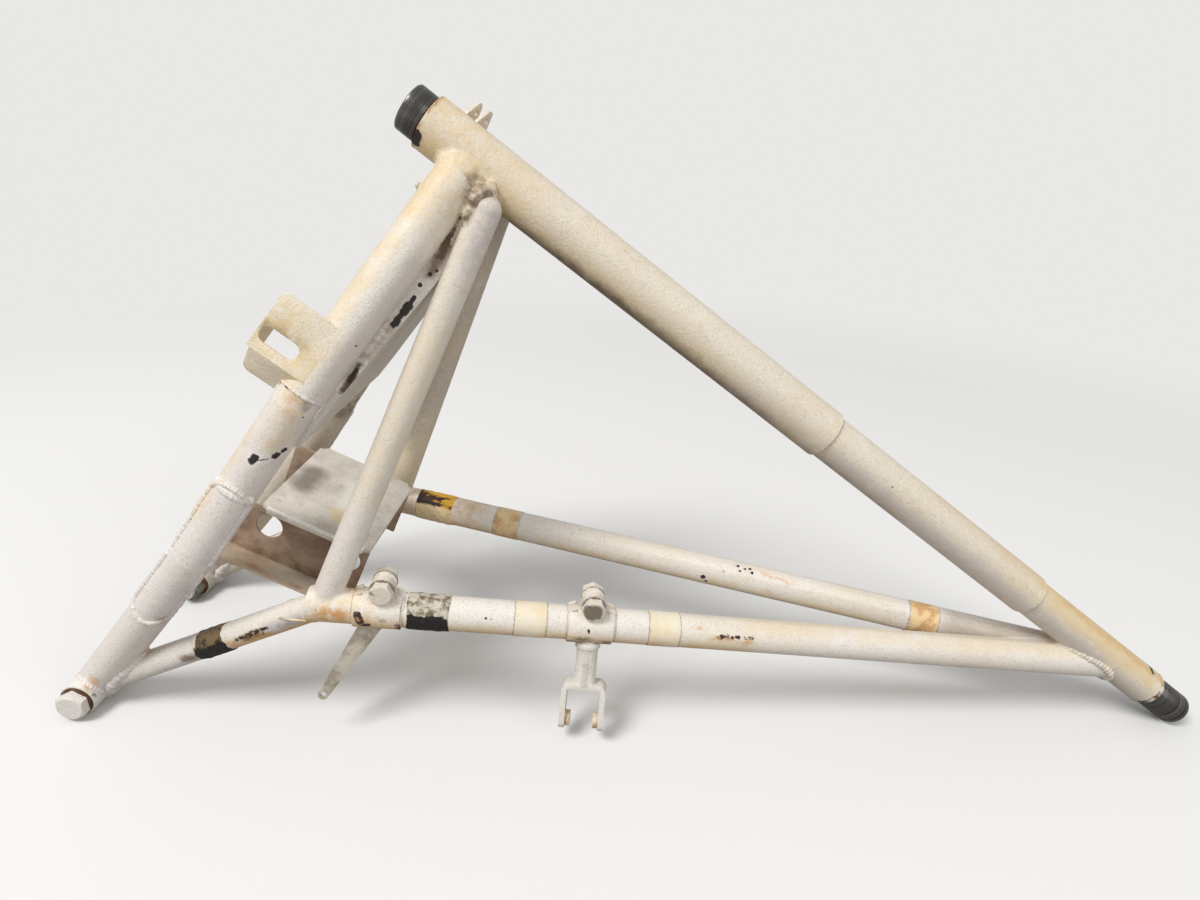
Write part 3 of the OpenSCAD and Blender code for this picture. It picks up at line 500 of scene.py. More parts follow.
creamPaint("frontDragPaint", {
    "stain": [
        mark(16, kneeFront, stepFrom(kneeFront, dragFront, 26), 0.7),
        mark(1.8, (38, -54.0, 82.6), (47, -53.0, 81.4), 0.9),
    ],
    "orange": [
        mark(5.5, (-221, -88, 104), (-212, -86, 101), 0.9), mark(5.0, (-197.5, -87.0, 100), strength=0.8),
        mark(2.6, (-194, -83, 90), (-174, -81, 88), 0.8),
        mark(0.8, (41, -54.0, 82.2), (46, -53.4, 81.6), 0.8),
        mark(2.4, (46.8, -52.5, 81.3), (68.3, -49.2, 80.8), 0.8),
        mark(1.6, (25.0, -52.5, 88.6), (35.7, -51.0, 87.7), 0.7),
    ],
    "umber": [
        mark(1.6, (-186.0, -85.6, 102.4), (-183.0, -85.4, 99.6), 0.6),
        mark(0.9, (-173.9, -83.4, 98), (-173.4, -77, 108), 0.6),
        mark(3.0, (-59, -67.6, 84), (-33, -63.5, 80.5), 0.75),
        mark(0.5, (-22, -63.5, 84.6), (-20, -61.5, 91.0), 0.6),
        mark(0.5, (-12, -62.0, 83.6), (-11, -60.5, 90.0), 0.6),
    ],
    "burnt": [
        mark(2.6, (-199.0, -87.2, 104.0), (-197.6, -86.6, 98.4)),
        mark(1.9, (-197.0, -85.4, 95.0), (-193.0, -84.6, 95.8)),
        mark(1.5, (-192, -82, 88), (-176, -80, 86)), mark(1.5, (-174.2, -82.8, 95), (-173.8, -80, 88)),
        mark(1.5, (44.5, -52.2, 83.4), (47.3, -51.7, 83.3)), mark(1.6, (50.5, -51.2, 83.2)),
        mark(1.2, (54.1, -50.9, 82.5)), mark(1.1, (57.0, -50.1, 83.0), (58.8, -50.0, 82.7)),
        mark(1.0, (63.1, -49.4, 82.2), (68.2, -48.7, 81.7)),
    ],
    "bare": [
        mark(1.5, (-226.4, -82.0, 93.8)), mark(0.8, (-116.1, -73.4, 99.5)),
        mark(0.5, (-112.6, -73.0, 99.0)), mark(0.8, (-110.6, -64.2, 105.6)),
        mark(0.45, (-107.4, -64.6, 105.2)), mark(0.9, (-60.6, -66.2, 80.6), (-46, -63.4, 78.0), 0.9),
        mark(0.9, (-46, -63.4, 78.0), (-33.0, -61.0, 76.6), 0.9),
        mark(0.8, (-46.6, -66.8, 91.6), (-46.3, -66.2, 89.0)),
    ],
}, yellowing=0.45, seed=17, tints=[
    shadedSide(frontDrag, Vector((0, -0.25, -1)), "stain", (-2, 9), 0.75, -20, 300, noisy=False),
    shadedSide(frontDrag, Vector((0, -0.1, -1)), "orange", (4, 12), 0.6, -20, 260),
    # painted shade: darker along the tube's underside
    shadedSide(frontDrag, down, "grimeAndShade", (7, 12), 0.5),
    shadedSide(frontDrag, Vector((0, 0.2, 1)), "stain", (1, 10), 0.35, 290, 560),
    *ringLines(
        frontDrag, (54.5, 0.5, "umber", 0.8, 0.46), (198.6, 0.5, "grimeAndShade", 0.8, 0.44),
        (164.6, 0.5, "umber", 0.7, 0.46), (20.6, 0.5, "grimeAndShade", 0.8, 0.44), (128.4, 0.5, "umber", 0.9, 0.40),
        (150.8, 0.5, "umber", 0.8, 0.42), (222.4, 0.5, "umber", 0.9, 0.40),
        (244.8, 0.5, "umber", 0.8, 0.42)),
])
creamPaint("kneePaint", {
    "stain": [mark(12, kneeFront, stepFrom(kneeFront, dragFront, 26), 0.6)],
    "orange": [mark(5.5, (-221, -88, 104), (-212, -86, 101), 0.9)],
    "grimeAndShade": [mark(1.0, (-231, -86, 108), (-228, -86, 98), 0.6)],
}, yellowing=0.25, seed=16, base=tone(230, 222, 212))
creamPaint("rearDragPaint", {
    "orange": [
        mark(1.8, (85.8, 30.1, 85.1), (109.4, 25.4, 81.9), 0.6),
        mark(15, stepFrom(kneeRear, dragRear, 12), stepFrom(kneeRear, dragRear, 70), 0.6),
    ],
    "grimeAndShade": [
        mark(15, stepFrom(kneeRear, dragRear, 470), stepFrom(kneeRear, dragRear, 575), 0.55, cloudy=False),
    ],
    "bare": [
        mark(1.9, (39.2, 29.9, 78.0)), mark(1.2, (42.1, 30.3, 74.1)), mark(1.3, (66.8, 34.9, 87.8)),
        mark(1.0, (68.2, 30.9, 85.8)), mark(1.0, (72.3, 32.8, 86.8)), mark(1.2, (76.4, 33.4, 86.8)),
        mark(1.2, (77.8, 30.2, 85.3)),
    ],
}, yellowing=0.5, seed=19, tints=[
    shadedSide(rearDrag, Vector((0, -0.3, -1)), "stain", (0, 10), 0.6),
    *ringLines(
        rearDrag, (91.4, 0.5, "umber", 0.9, 0.42), (112.8, 0.5, "umber", 0.8, 0.42),
        (432.4, 0.5, "umber", 0.9, 0.42), (454.8, 0.5, "umber", 0.8, 0.42)),
])
creamPaint("frontToePaint", {
    # painted shade: a lilac band on the tube's front near the knee
    "lilacShade": [mark(4.2, (-262, -86, 85), (-240, -86.4, 96), 1.0, cloudy=False)],
    "orange": [mark(3.0, (-291, -86, 68), (-262, -86, 80), 0.8), mark(3.2, (-360, -76, 49), strength=0.9)],
    "grimeAndShade": [
        mark(3.8, (-328, -85, 51.5), (-320, -84.6, 54.5), 0.9, cloudy=False),
        mark(2.2, (-252, -86.4, 89), (-240, -86.6, 95), 0.5),
    ],
    "umber": [mark(0.6, (-362, -80, 41), (-356, -80, 43.5), 0.8)],
    "rust": [mark(2.6, (-284, -86, 73), (-268, -86, 82), 0.7)],
    "burnt": [
        mark(1.7, (-287.5, -86.2, 72.6), (-281.0, -86.4, 76.2)),
        mark(1.2, (-281.0, -86.4, 76.2), (-277.5, -86.4, 77.0)),
        mark(2.0, (-277.5, -86.0, 78.0), (-270.5, -86.4, 82.4)),
        mark(1.2, (-267.5, -86.0, 84.4), (-263.0, -86.3, 86.2)),
    ],
}, yellowing=0.2, seed=21, base=tone(233, 226, 216), tints=[
    # painted shade: lilac along the tube's underside
    shadedSide(frontToe, down, "lilacShade", (1, 9), 0.6, 20, 100),
    shadedSide(frontToe, Vector((0, -0.2, -1)), "stain", (-3, 6), 0.8, 128, 225, noisy=False),
    shadedSide(frontToe, Vector((0, -0.2, -1)), "orange", (3, 9), 0.8, 128, 225),
])
creamPaint("plainPaint", yellowing=0.4, seed=23, base=tone(222, 214, 200))
creamPaint("footPaint", {
    "orange": [mark(3.4, (-399, -89, 21), strength=0.9)],
    "umber": [mark(1.8, (-395.8, -90, 18), (-397, -90, 14), 0.9)],
    "rust": [mark(1.0, (-396.6, -89.6, 22.5), (-399.5, -89.6, 26.0), 0.9)],
    "bare": [
        mark(1.2, (-397.6, -100, 18.8), (-397.2, -97, 15.4)),
        mark(1.1, (-404, -100.5, 2.8), (-400, -98, 3.0)),
    ],
}, yellowing=0.12, seed=25, base=tone(238, 233, 226))
creamPaint("forkPaint", {
    "grimeAndShade": [mark(3.0, (-46, -66, 60), (-46, -66, 57), 0.5)],
}, yellowing=0.15, seed=27, base=tone(231, 227, 220))
creamPaint("boltPaint", {
    "olive": [mark(7.2, (-43.4, -67.6, 105.3), strength=0.85)],
    "rust": [mark(1.0, (-189.5, -85.6, 121.5), (-187.0, -85.6, 118.5), 0.6)],
}, yellowing=0.3, seed=29, base=tone(229, 222, 210), chipping=0.8, tints=[
    # painted shade: dark lines in the gaps between the stacked pieces of clamp bolt A
    *ringLines((clampMids[0], clampMids[0] + boltOut), *(
        (reach, 1.0, "umber", 0.85, 0.38) for reach in (6.6, 4.9, -4.9, -6.6))),
])
metalFinish("armGrey", tone(196, 188, 172), tone(150, 140, 122), 0.45, 0.15, 90)
steelFinish("journalSteel", pivot, tone(40, 38, 37), tone(132, 130, 127), 0.16, 14.0)
metalFinish("rustySteel", tone(88, 58, 34), tone(124, 82, 48), 0.6, 0.2)
metalFinish("boltSteel", tone(150, 146, 138), tone(96, 88, 78), 0.42, 0.5)
metalFinish("bushBrass", tone(226, 212, 184), tone(186, 150, 112), 0.5, 0.1)

plateMid, plateRun, plateEdge = spot(-237.85, 0, 145.5), spot(0.9205, 0, -0.3907), Vector((0, -0.0505, 0))
metalFinish("plateGrey", tone(219, 211, 200), tone(200, 191, 178), 0.42, 0.0, 60, marks=[
    (plateMid - plateRun * 28 + Vector((0, -0.010, 0)), plateMid - plateRun * 28 + Vector((0, 0.010, 0)),
     0.009, tone(112, 102, 90), 0.8),  # a dark soft patch
    (plateMid + plateRun * 6 + Vector((0, -0.022, 0)), plateMid + plateRun * 2 + Vector((0, 0.018, 0)),
     0.005, tone(236, 231, 222), 0.6),
    (spot(-229, -31, 142), spot(-233, -24, 143.5), 0.006, tone(222, 200, 152), 0.75),
    (plateMid - plateRun * 39 + plateEdge, plateMid + plateRun * 39 + plateEdge,
     0.0016, tone(244, 239, 231), 0.9),  # the bright rim
])


def channelFinish(name):  # painted shade and light: darker brown on the web, as shaded by the plate above, paler on the legs that face outward, as lit
    f = Finish(name)
    cloud, fine, broad = f.noise(60, 6, 0.65, 6), f.noise(700, 3, 0.6, 7), f.noise(18, 3, 0.5, 2)
    web = f.blend(f.rise(cloud, 0.4, 0.66), tone(162, 139, 118), tone(132, 107, 86))
    leg = f.blend(f.rise(broad, 0.4, 0.66), tone(199, 185, 167), tone(181, 158, 132))
    colour = f.blend(f.rise(f.sideways().size(), 0.0464, 0.0480), web, leg)  # from the shaded web's face outwards to the lit legs
    ragged = f.warped(0.003, 150, 3)
    for start, end, radius, tint, strength in (
            (spot(-298, -46, 128), spot(-285, -46, 122), 0.010, tone(106, 81, 60), 0.5),
            (spot(-262, -46, 112), spot(-240, -46, 104), 0.005, tone(99, 72, 49), 0.5),
            (spot(-284, -60, 118), spot(-250, -62, 104), 0.002, tone(155, 109, 58), 0.6)):
        shape = f.spread(ragged, start, end, radius, 0.8) * strength * f.rise(cloud, 0.35, 0.6)
        colour = f.blend(shape, colour, tint)
    colour = f.blend(f.rise(fine, 0.6, 0.72) * 0.5, colour, cream["umber"])
    height = cloud * 0.5 + fine * 0.4
    finishes[name] = f.close(colour, 0.45 + cloud * 0.2, height, coat=0.08, relief=0.5, depth=0.0006)


def tapeFinish(name):  # old tape under paint: pale yellow, deeper below and browner at the rear
    f = Finish(name)
    cloud, fine = f.noise(70, 5, 0.6, 4), f.noise(500, 3, 0.6, 5)
    colour = f.blend(f.rise(cloud, 0.4, 0.7), tone(236, 225, 202), tone(233, 214, 178))
    low = f.across(kneeFront, Vector((0.0918, 0, 1)))
    colour = f.blend(f.rise(low, 3, -10) * f.rise(cloud, 0.3, 0.6) * 0.55, colour, cream["orange"])
    browned = f.blend(f.rise(f.noise(90, 5, 0.65, 9), 0.44, 0.6), tone(234, 204, 152), tone(204, 152, 88))
    colour = f.blend(f.rise(f.sideways(), 0.0, 0.001) * 0.85, colour, browned)
    colour = f.blend(f.rise(fine, 0.6, 0.75) * 0.25, colour, cream["grimeAndShade"])
    height = cloud + fine * 0.3
    finishes[name] = f.close(colour, 0.42 + cloud * 0.2, height, coat=0.1, depth=0.0005)


def wrapFinish(name):  # burnt wraps: black below, worn to grey and olive above, scorched at the rear
    f = Finish(name)
    patch, fine = f.noise(170, 6, 0.7, 8), f.noise(700, 3, 0.6, 5)
    ragged = f.warped(0.003, 120, 6)
    toward = Vector((0, 0.41, 0.91))  # the side that has worn

    def above(start, end):  # millimetres off the tube's axis, towards the worn side
        way = (end - start).normalized()
        return f.across(start, toward - way * way.dot(toward), ragged)

    front, rear, toe = above(*frontDrag), above(*rearDrag), above(*frontToe)
    lengthways = f.node("ShaderNodeSeparateXYZ", {}, {0: f.place})
    isRear, isToe = f.rise(f.sideways(), 0.0, 0.001), f.rise(lengthways, -0.270, -0.280)
    high = front * (1.0 - isRear - isToe) + rear * isRear + toe * isToe
    worn = f.blend(f.rise(patch, 0.42, 0.6), tone(205, 197, 180), tone(112, 98, 70))
    worn = f.blend(isToe, worn, f.blend(f.rise(patch, 0.45, 0.62), tone(120, 96, 64), tone(58, 42, 28)))
    smear = f.noise(60, 5, 0.6, 13, (0.5, 1.0, 1.6))
    scorched = f.blend(f.rise(smear, 0.46, 0.54), tone(232, 178, 44), tone(62, 24, 12))
    scorched = f.blend(f.rise(smear, 0.56, 0.62), scorched, tone(22, 14, 10))
    pale = f.blend(f.rise(f.noise(110, 5, 0.6, 17), 0.54, 0.62), tone(232, 208, 164), tone(176, 100, 40))
    scorched = f.blend(f.rise(rear, 0.6, 2.6), pale, scorched)
    worn = f.blend(isRear, worn, scorched)
    black = f.blend(f.rise(fine, 0.5, 0.7), tone(20, 18, 16), tone(48, 42, 36))
    split = (patch - 0.5) * 5.0 - 0.5 - isToe * 1.5
    colour = f.blend(f.rise(high - split, -0.4, 0.4).most(isRear), black, worn)
    lip = f.rise(f.run(*frontToe, ragged), 104.6, 103.4) * isToe * f.rise(high, -1.5, 0.0)
    colour = f.blend(lip, colour, tone(222, 212, 196))
    finishes[name] = f.close(colour, 0.5 + patch * 0.2, patch + fine * 0.5, relief=0.7)


channelFinish("webBrown")
tapeFinish("yellowTape")
wrapFinish("blackWrap")
print("finishes made:", len(finishes))

dressed = {
    "pivotPaint": ["pivot_tube", "pivot_tube_middle", "pivot_tube_lower"],
    "neckPaint": ["neck_saddle", "lug_ears"], "sleevePaint": ["front_leg_sleeve"],
    "gussetPaint": ["neck_gusset"], "bracketPaint": ["slotted_bracket"],
    "legPaint": ["front_leg_tube", "front_bend_doubler"],
    "rearLegPaint": ["rear_leg_tube", "rear_bend_doubler", "rear_leg_sleeve"],
    "postPaint": ["front_post"], "rearPostPaint": ["rear_post"], "rearDragPaint": ["rear_drag_tube"],
    "frontDragPaint": ["front_drag_tube", "arm_clamp", "fork_clamp"], "frontToePaint": ["front_toe_tube"],
    "plainPaint": ["rear_toe_tube", "rear_foot_boss", "grease_fitting"],
    "footPaint": ["front_foot_boss", "foot_bolts"], "forkPaint": ["fork_clevis"], "armGrey": ["door_arm"],
    "journalSteel": ["upper_journal", "lower_journal"], "plateGrey": ["seat_plate"],
    "webBrown": ["front_channel", "rear_channel"], "rustySteel": ["foot_washers"], "boltSteel": ["foot_nuts"],
    "boltPaint": ["clamp_bolts", "clamp_spacers", "clamp_washers", "clamp_nuts"],
    "bushBrass": ["fork_bushes"], "yellowTape": ["tape_bands"], "blackWrap": ["chafe_bands"],
}
softened = {  # the width of each node's rounded edges, in millimetres
    "seat_plate": 0.5, "slotted_bracket": 0.35, "neck_gusset": 0.5, "front_channel": 0.5, "rear_channel": 0.5,
    "fork_clevis": 0.6, "door_arm": 0.5, "foot_bolts": 0.5, "foot_nuts": 0.4, "foot_washers": 0.3,
    "clamp_bolts": 0.4, "clamp_nuts": 0.35, "clamp_washers": 0.25, "arm_clamp": 0.35, "fork_clamp": 0.35,
    "front_foot_boss": 0.8, "rear_foot_boss": 0.8, "lug_ears": 0.5, "upper_journal": 0.6,
    "lower_journal": 0.6,
}
edges = {"merge": 0.00001, "segments": 2, "bevelAngle": 32, "splitAngle": 34}  # metres, count and degrees


def dress(node, finish, bevel):  # the finish, smooth shading and rounded edges for one CAD node
    piece = nodes[node]
    piece.data.materials.clear()
    piece.data.materials.append(finishes[finish])
    piece.data.polygons.foreach_set("use_smooth", [True] * len(piece.data.polygons))
    weld = piece.modifiers.new("weld", "WELD")
    weld.merge_threshold = edges["merge"]
    if bevel:
        rounded = piece.modifiers.new("rounded", "BEVEL")
        rounded.width = bevel / 1000
        rounded.segments = edges["segments"]
        rounded.limit_method = "ANGLE"
        rounded.angle_limit = math.radians(edges["bevelAngle"])
        rounded.use_clamp_overlap = True
        rounded.harden_normals = True
    split = piece.modifiers.new("split", "EDGE_SPLIT")
    split.split_angle = math.radians(edges["splitAngle"])


for finish, members in dressed.items():
    for member in members:
        dress(member, finish, softened.get(member, 0.0))
print("nodes dressed")


def newPiece(name, points, lines, faces):
    mesh = bpy.data.meshes.new(name)
    mesh.from_pydata(points, lines, faces)
    piece = bpy.data.objects.new(name, mesh)
    bpy.context.scene.collection.objects.link(piece)
    return piece


def plainMesh(piece, name):  # the modifiers' result as a mesh of its own, in place of the piece
    ready = piece.evaluated_get(bpy.context.evaluated_depsgraph_get())
    made = bpy.data.objects.new(name, bpy.data.meshes.new_from_object(ready))
    bpy.context.scene.collection.objects.link(made)
    bpy.data.objects.remove(piece)
    return made


def axesOf(start, end):  # a tube's own direction and two directions square to it
    way = (end - start).normalized()
    side = way.orthogonal().normalized()
    return way, side, way.cross(side)


def turnsOf(count):  # the angles of so many equal steps round a circle
    return [math.tau * i / count for i in range(count)]


def circle(centre, side, other, radius, count):
    return [centre + (side * math.cos(a) + other * math.sin(a)) * radius for a in turnsOf(count)]


def joinRings(faces, base, count, rows, inward=False):  # quads between rings that follow one another
    for k in range(rows):
        for i in range(count):
            a, b = base + k * count + i, base + k * count + (i + 1) % count
            faces.append((b, a, a + count, b + count) if inward else (a, b, b + count, a + count))


def capRings(faces, base, count, rows, inward=False):  # and a face over each end
    low = [base + i for i in range(count)]
    high = [base + rows * count + i for i in range(count)]
    faces.append(tuple(low if inward else low[::-1]))
    faces.append(tuple(high[::-1] if inward else high))


def seamOn(start, end, radius, otherStart, otherEnd, otherRadius, count=72):
    # where a tube that comes from end towards start meets another tube, as points on its own surface
    way, side, other = axesOf(end, start)
    axis = (otherEnd - otherStart).normalized()
    points = []
    for root in circle(end, side, other, radius, count):
        a = way - axis * way.dot(axis)
        b = (root - otherStart) - axis * (root - otherStart).dot(axis)
        qa, qb, qc = a.dot(a), 2 * a.dot(b), b.dot(b) - otherRadius ** 2
        inside = qb * qb - 4 * qa * qc
        points.append(None if inside < 0 else root + way * ((-qb - math.sqrt(inside)) / (2 * qa)))
    return points


def seamOnPivot(near, far, radius, pivotRadius, count=72, step=0.0004, steps=120):
    # the closed line on the pivot tube's surface where a dome-ended tube from far to near touches it
    acrossSide = Vector((0, 1, 0))
    acrossUp = acrossSide.cross(pivotWay).normalized()
    startAt = (near - pivotTop).dot(pivotWay)
    off = near - pivotTop - pivotWay * startAt
    startAngle = math.atan2(off.dot(acrossSide), off.dot(acrossUp))

    def spotAt(reach, turn):  # a place on the pivot tube, reached from the nearest one in the direction turn
        angle = startAngle + reach * math.sin(turn) / pivotRadius
        outward = acrossUp * math.cos(angle) + acrossSide * math.sin(angle)
        return pivotTop + pivotWay * (startAt + reach * math.cos(turn)) + outward * pivotRadius

    def depth(point):
        way = far - near
        share = min(1.0, max(0.0, (point - near).dot(way) / way.length_squared))
        return (point - near - way * share).length - radius

    line = []
    for turn in turnsOf(count):
        reach = next((k * step for k in range(steps) if depth(spotAt(k * step, turn)) > 0), None)
        line.append(None if reach is None else spotAt(reach, turn))
    return line


def seamDown(start, end, radius, otherStart, otherEnd, otherRadius, low, high, side, count=40):
    # two tubes side by side: the line of touch on the first, between two distances along it
    way, first, second = axesOf(start, end)
    axis = (otherEnd - otherStart).normalized()

    def gap(point):  # how far from the other tube's skin, in favour of the outward side
        off = point - otherStart
        return abs((off - axis * off.dot(axis)).length - otherRadius) - 0.03 * side * point.y

    centres = [start + way * (low + (high - low) * k / (count - 1)) / 1000 for k in range(count)]
    return [min(circle(centre, first, second, radius, 180), key=gap) for centre in centres]


def ringOn(start, end, distance, radius, count=60):
    way, side, other = axesOf(start, end)
    ring = circle(start + way * distance / 1000, side, other, radius, count)
    return ring + [ring[0]]


def openRuns(points, keep):  # the parts of a ring where keep is true, each as an open path
    flags = [p is not None and keep(p) for p in points]
    if all(flags):
        return [points + [points[0]]]
    if not any(flags):
        return []
    first = flags.index(False)
    runs, current = [], []
    for i in range(1, len(points) + 1):
        j = (first + i) % len(points)
        if flags[j]:
            current.append(points[j])
        elif current:
            runs.append(current)
            current = []
    return [r for r in runs if len(r) > 2]


# the weld beads: overlapping flat scales that follow a seam
beads = {"seed": 7, "grain": 0.0004, "inside": 0.002, "segments": 12, "rings": 8}
seams = {  # the scales' width and pitch in millimetres, and their lean, thickness and unevenness
    "Neck": {"width": 3.8, "pitch": 1.9, "lean": 0.5},
    "Crotch": {"width": 5.6, "pitch": 2.4},
    "Rim": {"width": 3.0, "pitch": 1.5, "thick": 0.8},
    "Border": {"width": 4.6, "pitch": 2.0, "lean": 0.4, "thick": 0.9},
    "Cap": {"width": 8.0, "pitch": 1.1, "lean": 0.1, "wobble": 0.04},
    "Knee": {"width": 2.2, "pitch": 1.2, "wobble": 0.05},
    "Foot": {"width": 4.2, "pitch": 2.2},
    "Toe": {"width": 8.0, "pitch": 3.1, "lean": 0.9, "thick": 0.55},
    "DragEnd": {"width": 6.2, "pitch": 2.9, "lean": 0.7},
}
seamUsual = {"lean": 0.55, "thick": 0.62, "wobble": 0.12}
seamReach = {  # millimetres: the rim's and the crotch's places, and how far from its joint a seam may run
    "rimAt": 10.6, "rimSunk": 0.6, "crotch": (2, 26), "knee": 30, "toe": 75, "dragEnd": 75,
}


def beadTree():
    tree = bpy.data.node_groups.new("weldBead", "GeometryNodeTree")
    tree.interface.new_socket("Geometry", in_out="INPUT", socket_type="NodeSocketGeometry")
    for label in ("Pitch", "Width", "Height", "Lean", "Least", "Most"):
        tree.interface.new_socket(label, in_out="INPUT", socket_type="NodeSocketFloat")
    tree.interface.new_socket("Seed", in_out="INPUT", socket_type="NodeSocketInt")
    tree.interface.new_socket("Finish", in_out="INPUT", socket_type="NodeSocketMaterial")
    tree.interface.new_socket("Geometry", in_out="OUTPUT", socket_type="NodeSocketGeometry")
    given = tree.nodes.new("NodeGroupInput").outputs

    def add(kind, settings=None, inputs=None, out=0):
        return addNode(tree, kind, settings, inputs).outputs[out]

    line = add("GeometryNodeMeshToCurve", {}, {"Mesh": given["Geometry"]})
    spaced = add("GeometryNodeResampleCurve", {"mode": "LENGTH"}, {"Curve": line, "Length": given["Pitch"]})
    ball = {"Segments": beads["segments"], "Rings": beads["rings"], "Radius": 0.5}
    scale = add("GeometryNodeMeshUVSphere", {}, ball, "Mesh")
    tangent = {"Vector": add("GeometryNodeInputTangent")}
    turn = add("FunctionNodeAlignRotationToVector", {"axis": "Z"}, tangent)
    lean = add("FunctionNodeEulerToRotation", {}, {0: add("ShaderNodeCombineXYZ", {}, {0: given["Lean"]})})
    tilt = {"Rotation": turn, "Rotate By": lean}
    tilt = add("FunctionNodeRotateRotation", {"rotation_space": "LOCAL"}, tilt)
    size = add("ShaderNodeCombineXYZ", {}, {0: given["Width"], 1: given["Width"], 2: given["Height"]})
    wobble = {"Seed": given["Seed"], 2: given["Least"], 3: given["Most"]}
    wobble = add("FunctionNodeRandomValue", {"data_type": "FLOAT"}, wobble, 1)
    grown = add("ShaderNodeVectorMath", {"operation": "SCALE"}, {0: size, "Scale": wobble})
    row = {"Points": spaced, "Instance": scale, "Rotation": tilt, "Scale": grown}
    real = add("GeometryNodeRealizeInstances", {}, {0: add("GeometryNodeInstanceOnPoints", {}, row)})
    voxels = {"resolution_mode": "VOXEL_SIZE"}  # the scales run into one another
    volume = {"Mesh": real, "Voxel Size": beads["grain"], "Interior Band Width": beads["inside"]}
    volume = add("GeometryNodeMeshToVolume", voxels, volume)
    skin = add("GeometryNodeVolumeToMesh", voxels, {"Volume": volume, "Voxel Size": beads["grain"]})
    smooth = add("GeometryNodeSetShadeSmooth", {}, {"Geometry": skin})
    painted = add("GeometryNodeSetMaterial", {}, {"Geometry": smooth, "Material": given["Finish"]})
    addNode(tree, "NodeGroupOutput", {}, {"Geometry": painted})
    return tree


bead = beadTree()


def setInput(modifier, label, value):
    for item in modifier.node_group.interface.items_tree:
        if item.item_type == "SOCKET" and item.in_out == "INPUT" and item.name == label:
            modifier[item.identifier] = value


def weldBead(label, seam, paths, finish):
    points, lines = [], []
    for path in paths:
        lines += [(len(points) + i, len(points) + i + 1) for i in range(len(path) - 1)]
        points += path
    name = label + seam + "Weld"
    piece = newPiece(name + "Path", points, lines, [])
    rippled = piece.modifiers.new("rippled", "NODES")
    rippled.node_group = bead
    own = seamUsual | seams[seam]
    wide, wobble = own["width"] / 1000, own["wobble"]
    for socket, value in (("Pitch", own["pitch"] / 1000), ("Width", wide), ("Height", wide * own["thick"]),
                          ("Lean", own["lean"]), ("Least", 1 - wobble), ("Most", 1 + wobble),
                          ("Seed", beads["seed"]), ("Finish", finishes[finish])):
        setInput(rippled, socket, value)
    made = plainMesh(piece, name)
    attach(made, "root")


doubler = {  # millimetres from the lower bend, in from the leg's edges, and out of or into its surface
    "upperReach": 66, "lowerReach": 62, "inset": 1.2, "lift": 0.8,
    "capAt": 61, "capInset": 3.4, "capSunk": 1.3, "arcSteps": 24, "sideSteps": 12, "capSteps": 20,
}


def doublerPoint(side, start, end, reach, across, radius):
    # a point over a leg run, reach along it and across from its middle line, on the outward face
    way = (end - start).normalized()
    flat = Vector((way.x, 0, way.z)).normalized()
    cross = Vector((-flat.z, 0, flat.x))
    out = way.cross(cross).normalized()
    out = out if out.y * side > 0 else -out
    return start + way * reach + cross * across + out * math.sqrt(max(0.0, radius * radius - across * across))


def doublerBorder(side):  # up one side of the doubler, round its end and back, on both runs
    bend = at("lowerBend", side)
    half, radius = legR - doubler["inset"] / 1000, legR + doubler["lift"] / 1000
    arcSteps, sideSteps = doubler["arcSteps"], doubler["sideSteps"]
    angles = [math.pi * i / arcSteps for i in range(arcSteps + 1)]
    line = []
    for end, reach, turn in (("upperBend", doubler["upperReach"], 1), ("foot", doubler["lowerReach"], -1)):
        centre = reach / 1000 - half
        arc = [(centre + half * math.sin(a), turn * half * math.cos(a)) for a in angles]
        there = [(centre * k / sideSteps, turn * half) for k in range(1, sideSteps)]
        back = [(centre * k / sideSteps, -turn * half) for k in range(sideSteps - 1, 0, -1)]
        line += [doublerPoint(side, bend, at(end, side), a, c, radius) for a, c in there + arc + back]
    return [line + [line[0]]]


def doublerCap(side):
    wide, radius = legR - doubler["capInset"] / 1000, legR - doubler["capSunk"] / 1000
    steps = doubler["capSteps"]
    run = (at("lowerBend", side), at("upperBend", side), doubler["capAt"] / 1000)
    return [doublerPoint(side, *run, wide * (2 * k / steps - 1), radius) for k in range(steps + 1)]


sleeveR, legR, postR, dragR, bossR, padR, pivotR, pivotLowR = (strut[name + "Radius"] / 1000 for name in (
    "sleeve", "leg", "post", "drag", "boss", "pad", "pivot", "pivotLow"))
halves = ((-1, "front"), (1, "rear"))


def outside(side, least):  # whether a point lies so many millimetres out from the middle plane
    return lambda p: p.y * side > least / 1000


def near(joint, seam):  # whether a point lies within a seam's reach from its joint
    return lambda p: (p - joint).length < seamReach[seam] / 1000


def neckRing(side):  # the sleeve's coped end on the pivot tube's pad
    return openRuns(seamOnPivot(at("neck", side), at("upperBend", side), sleeveR, padR), outside(side, 2))


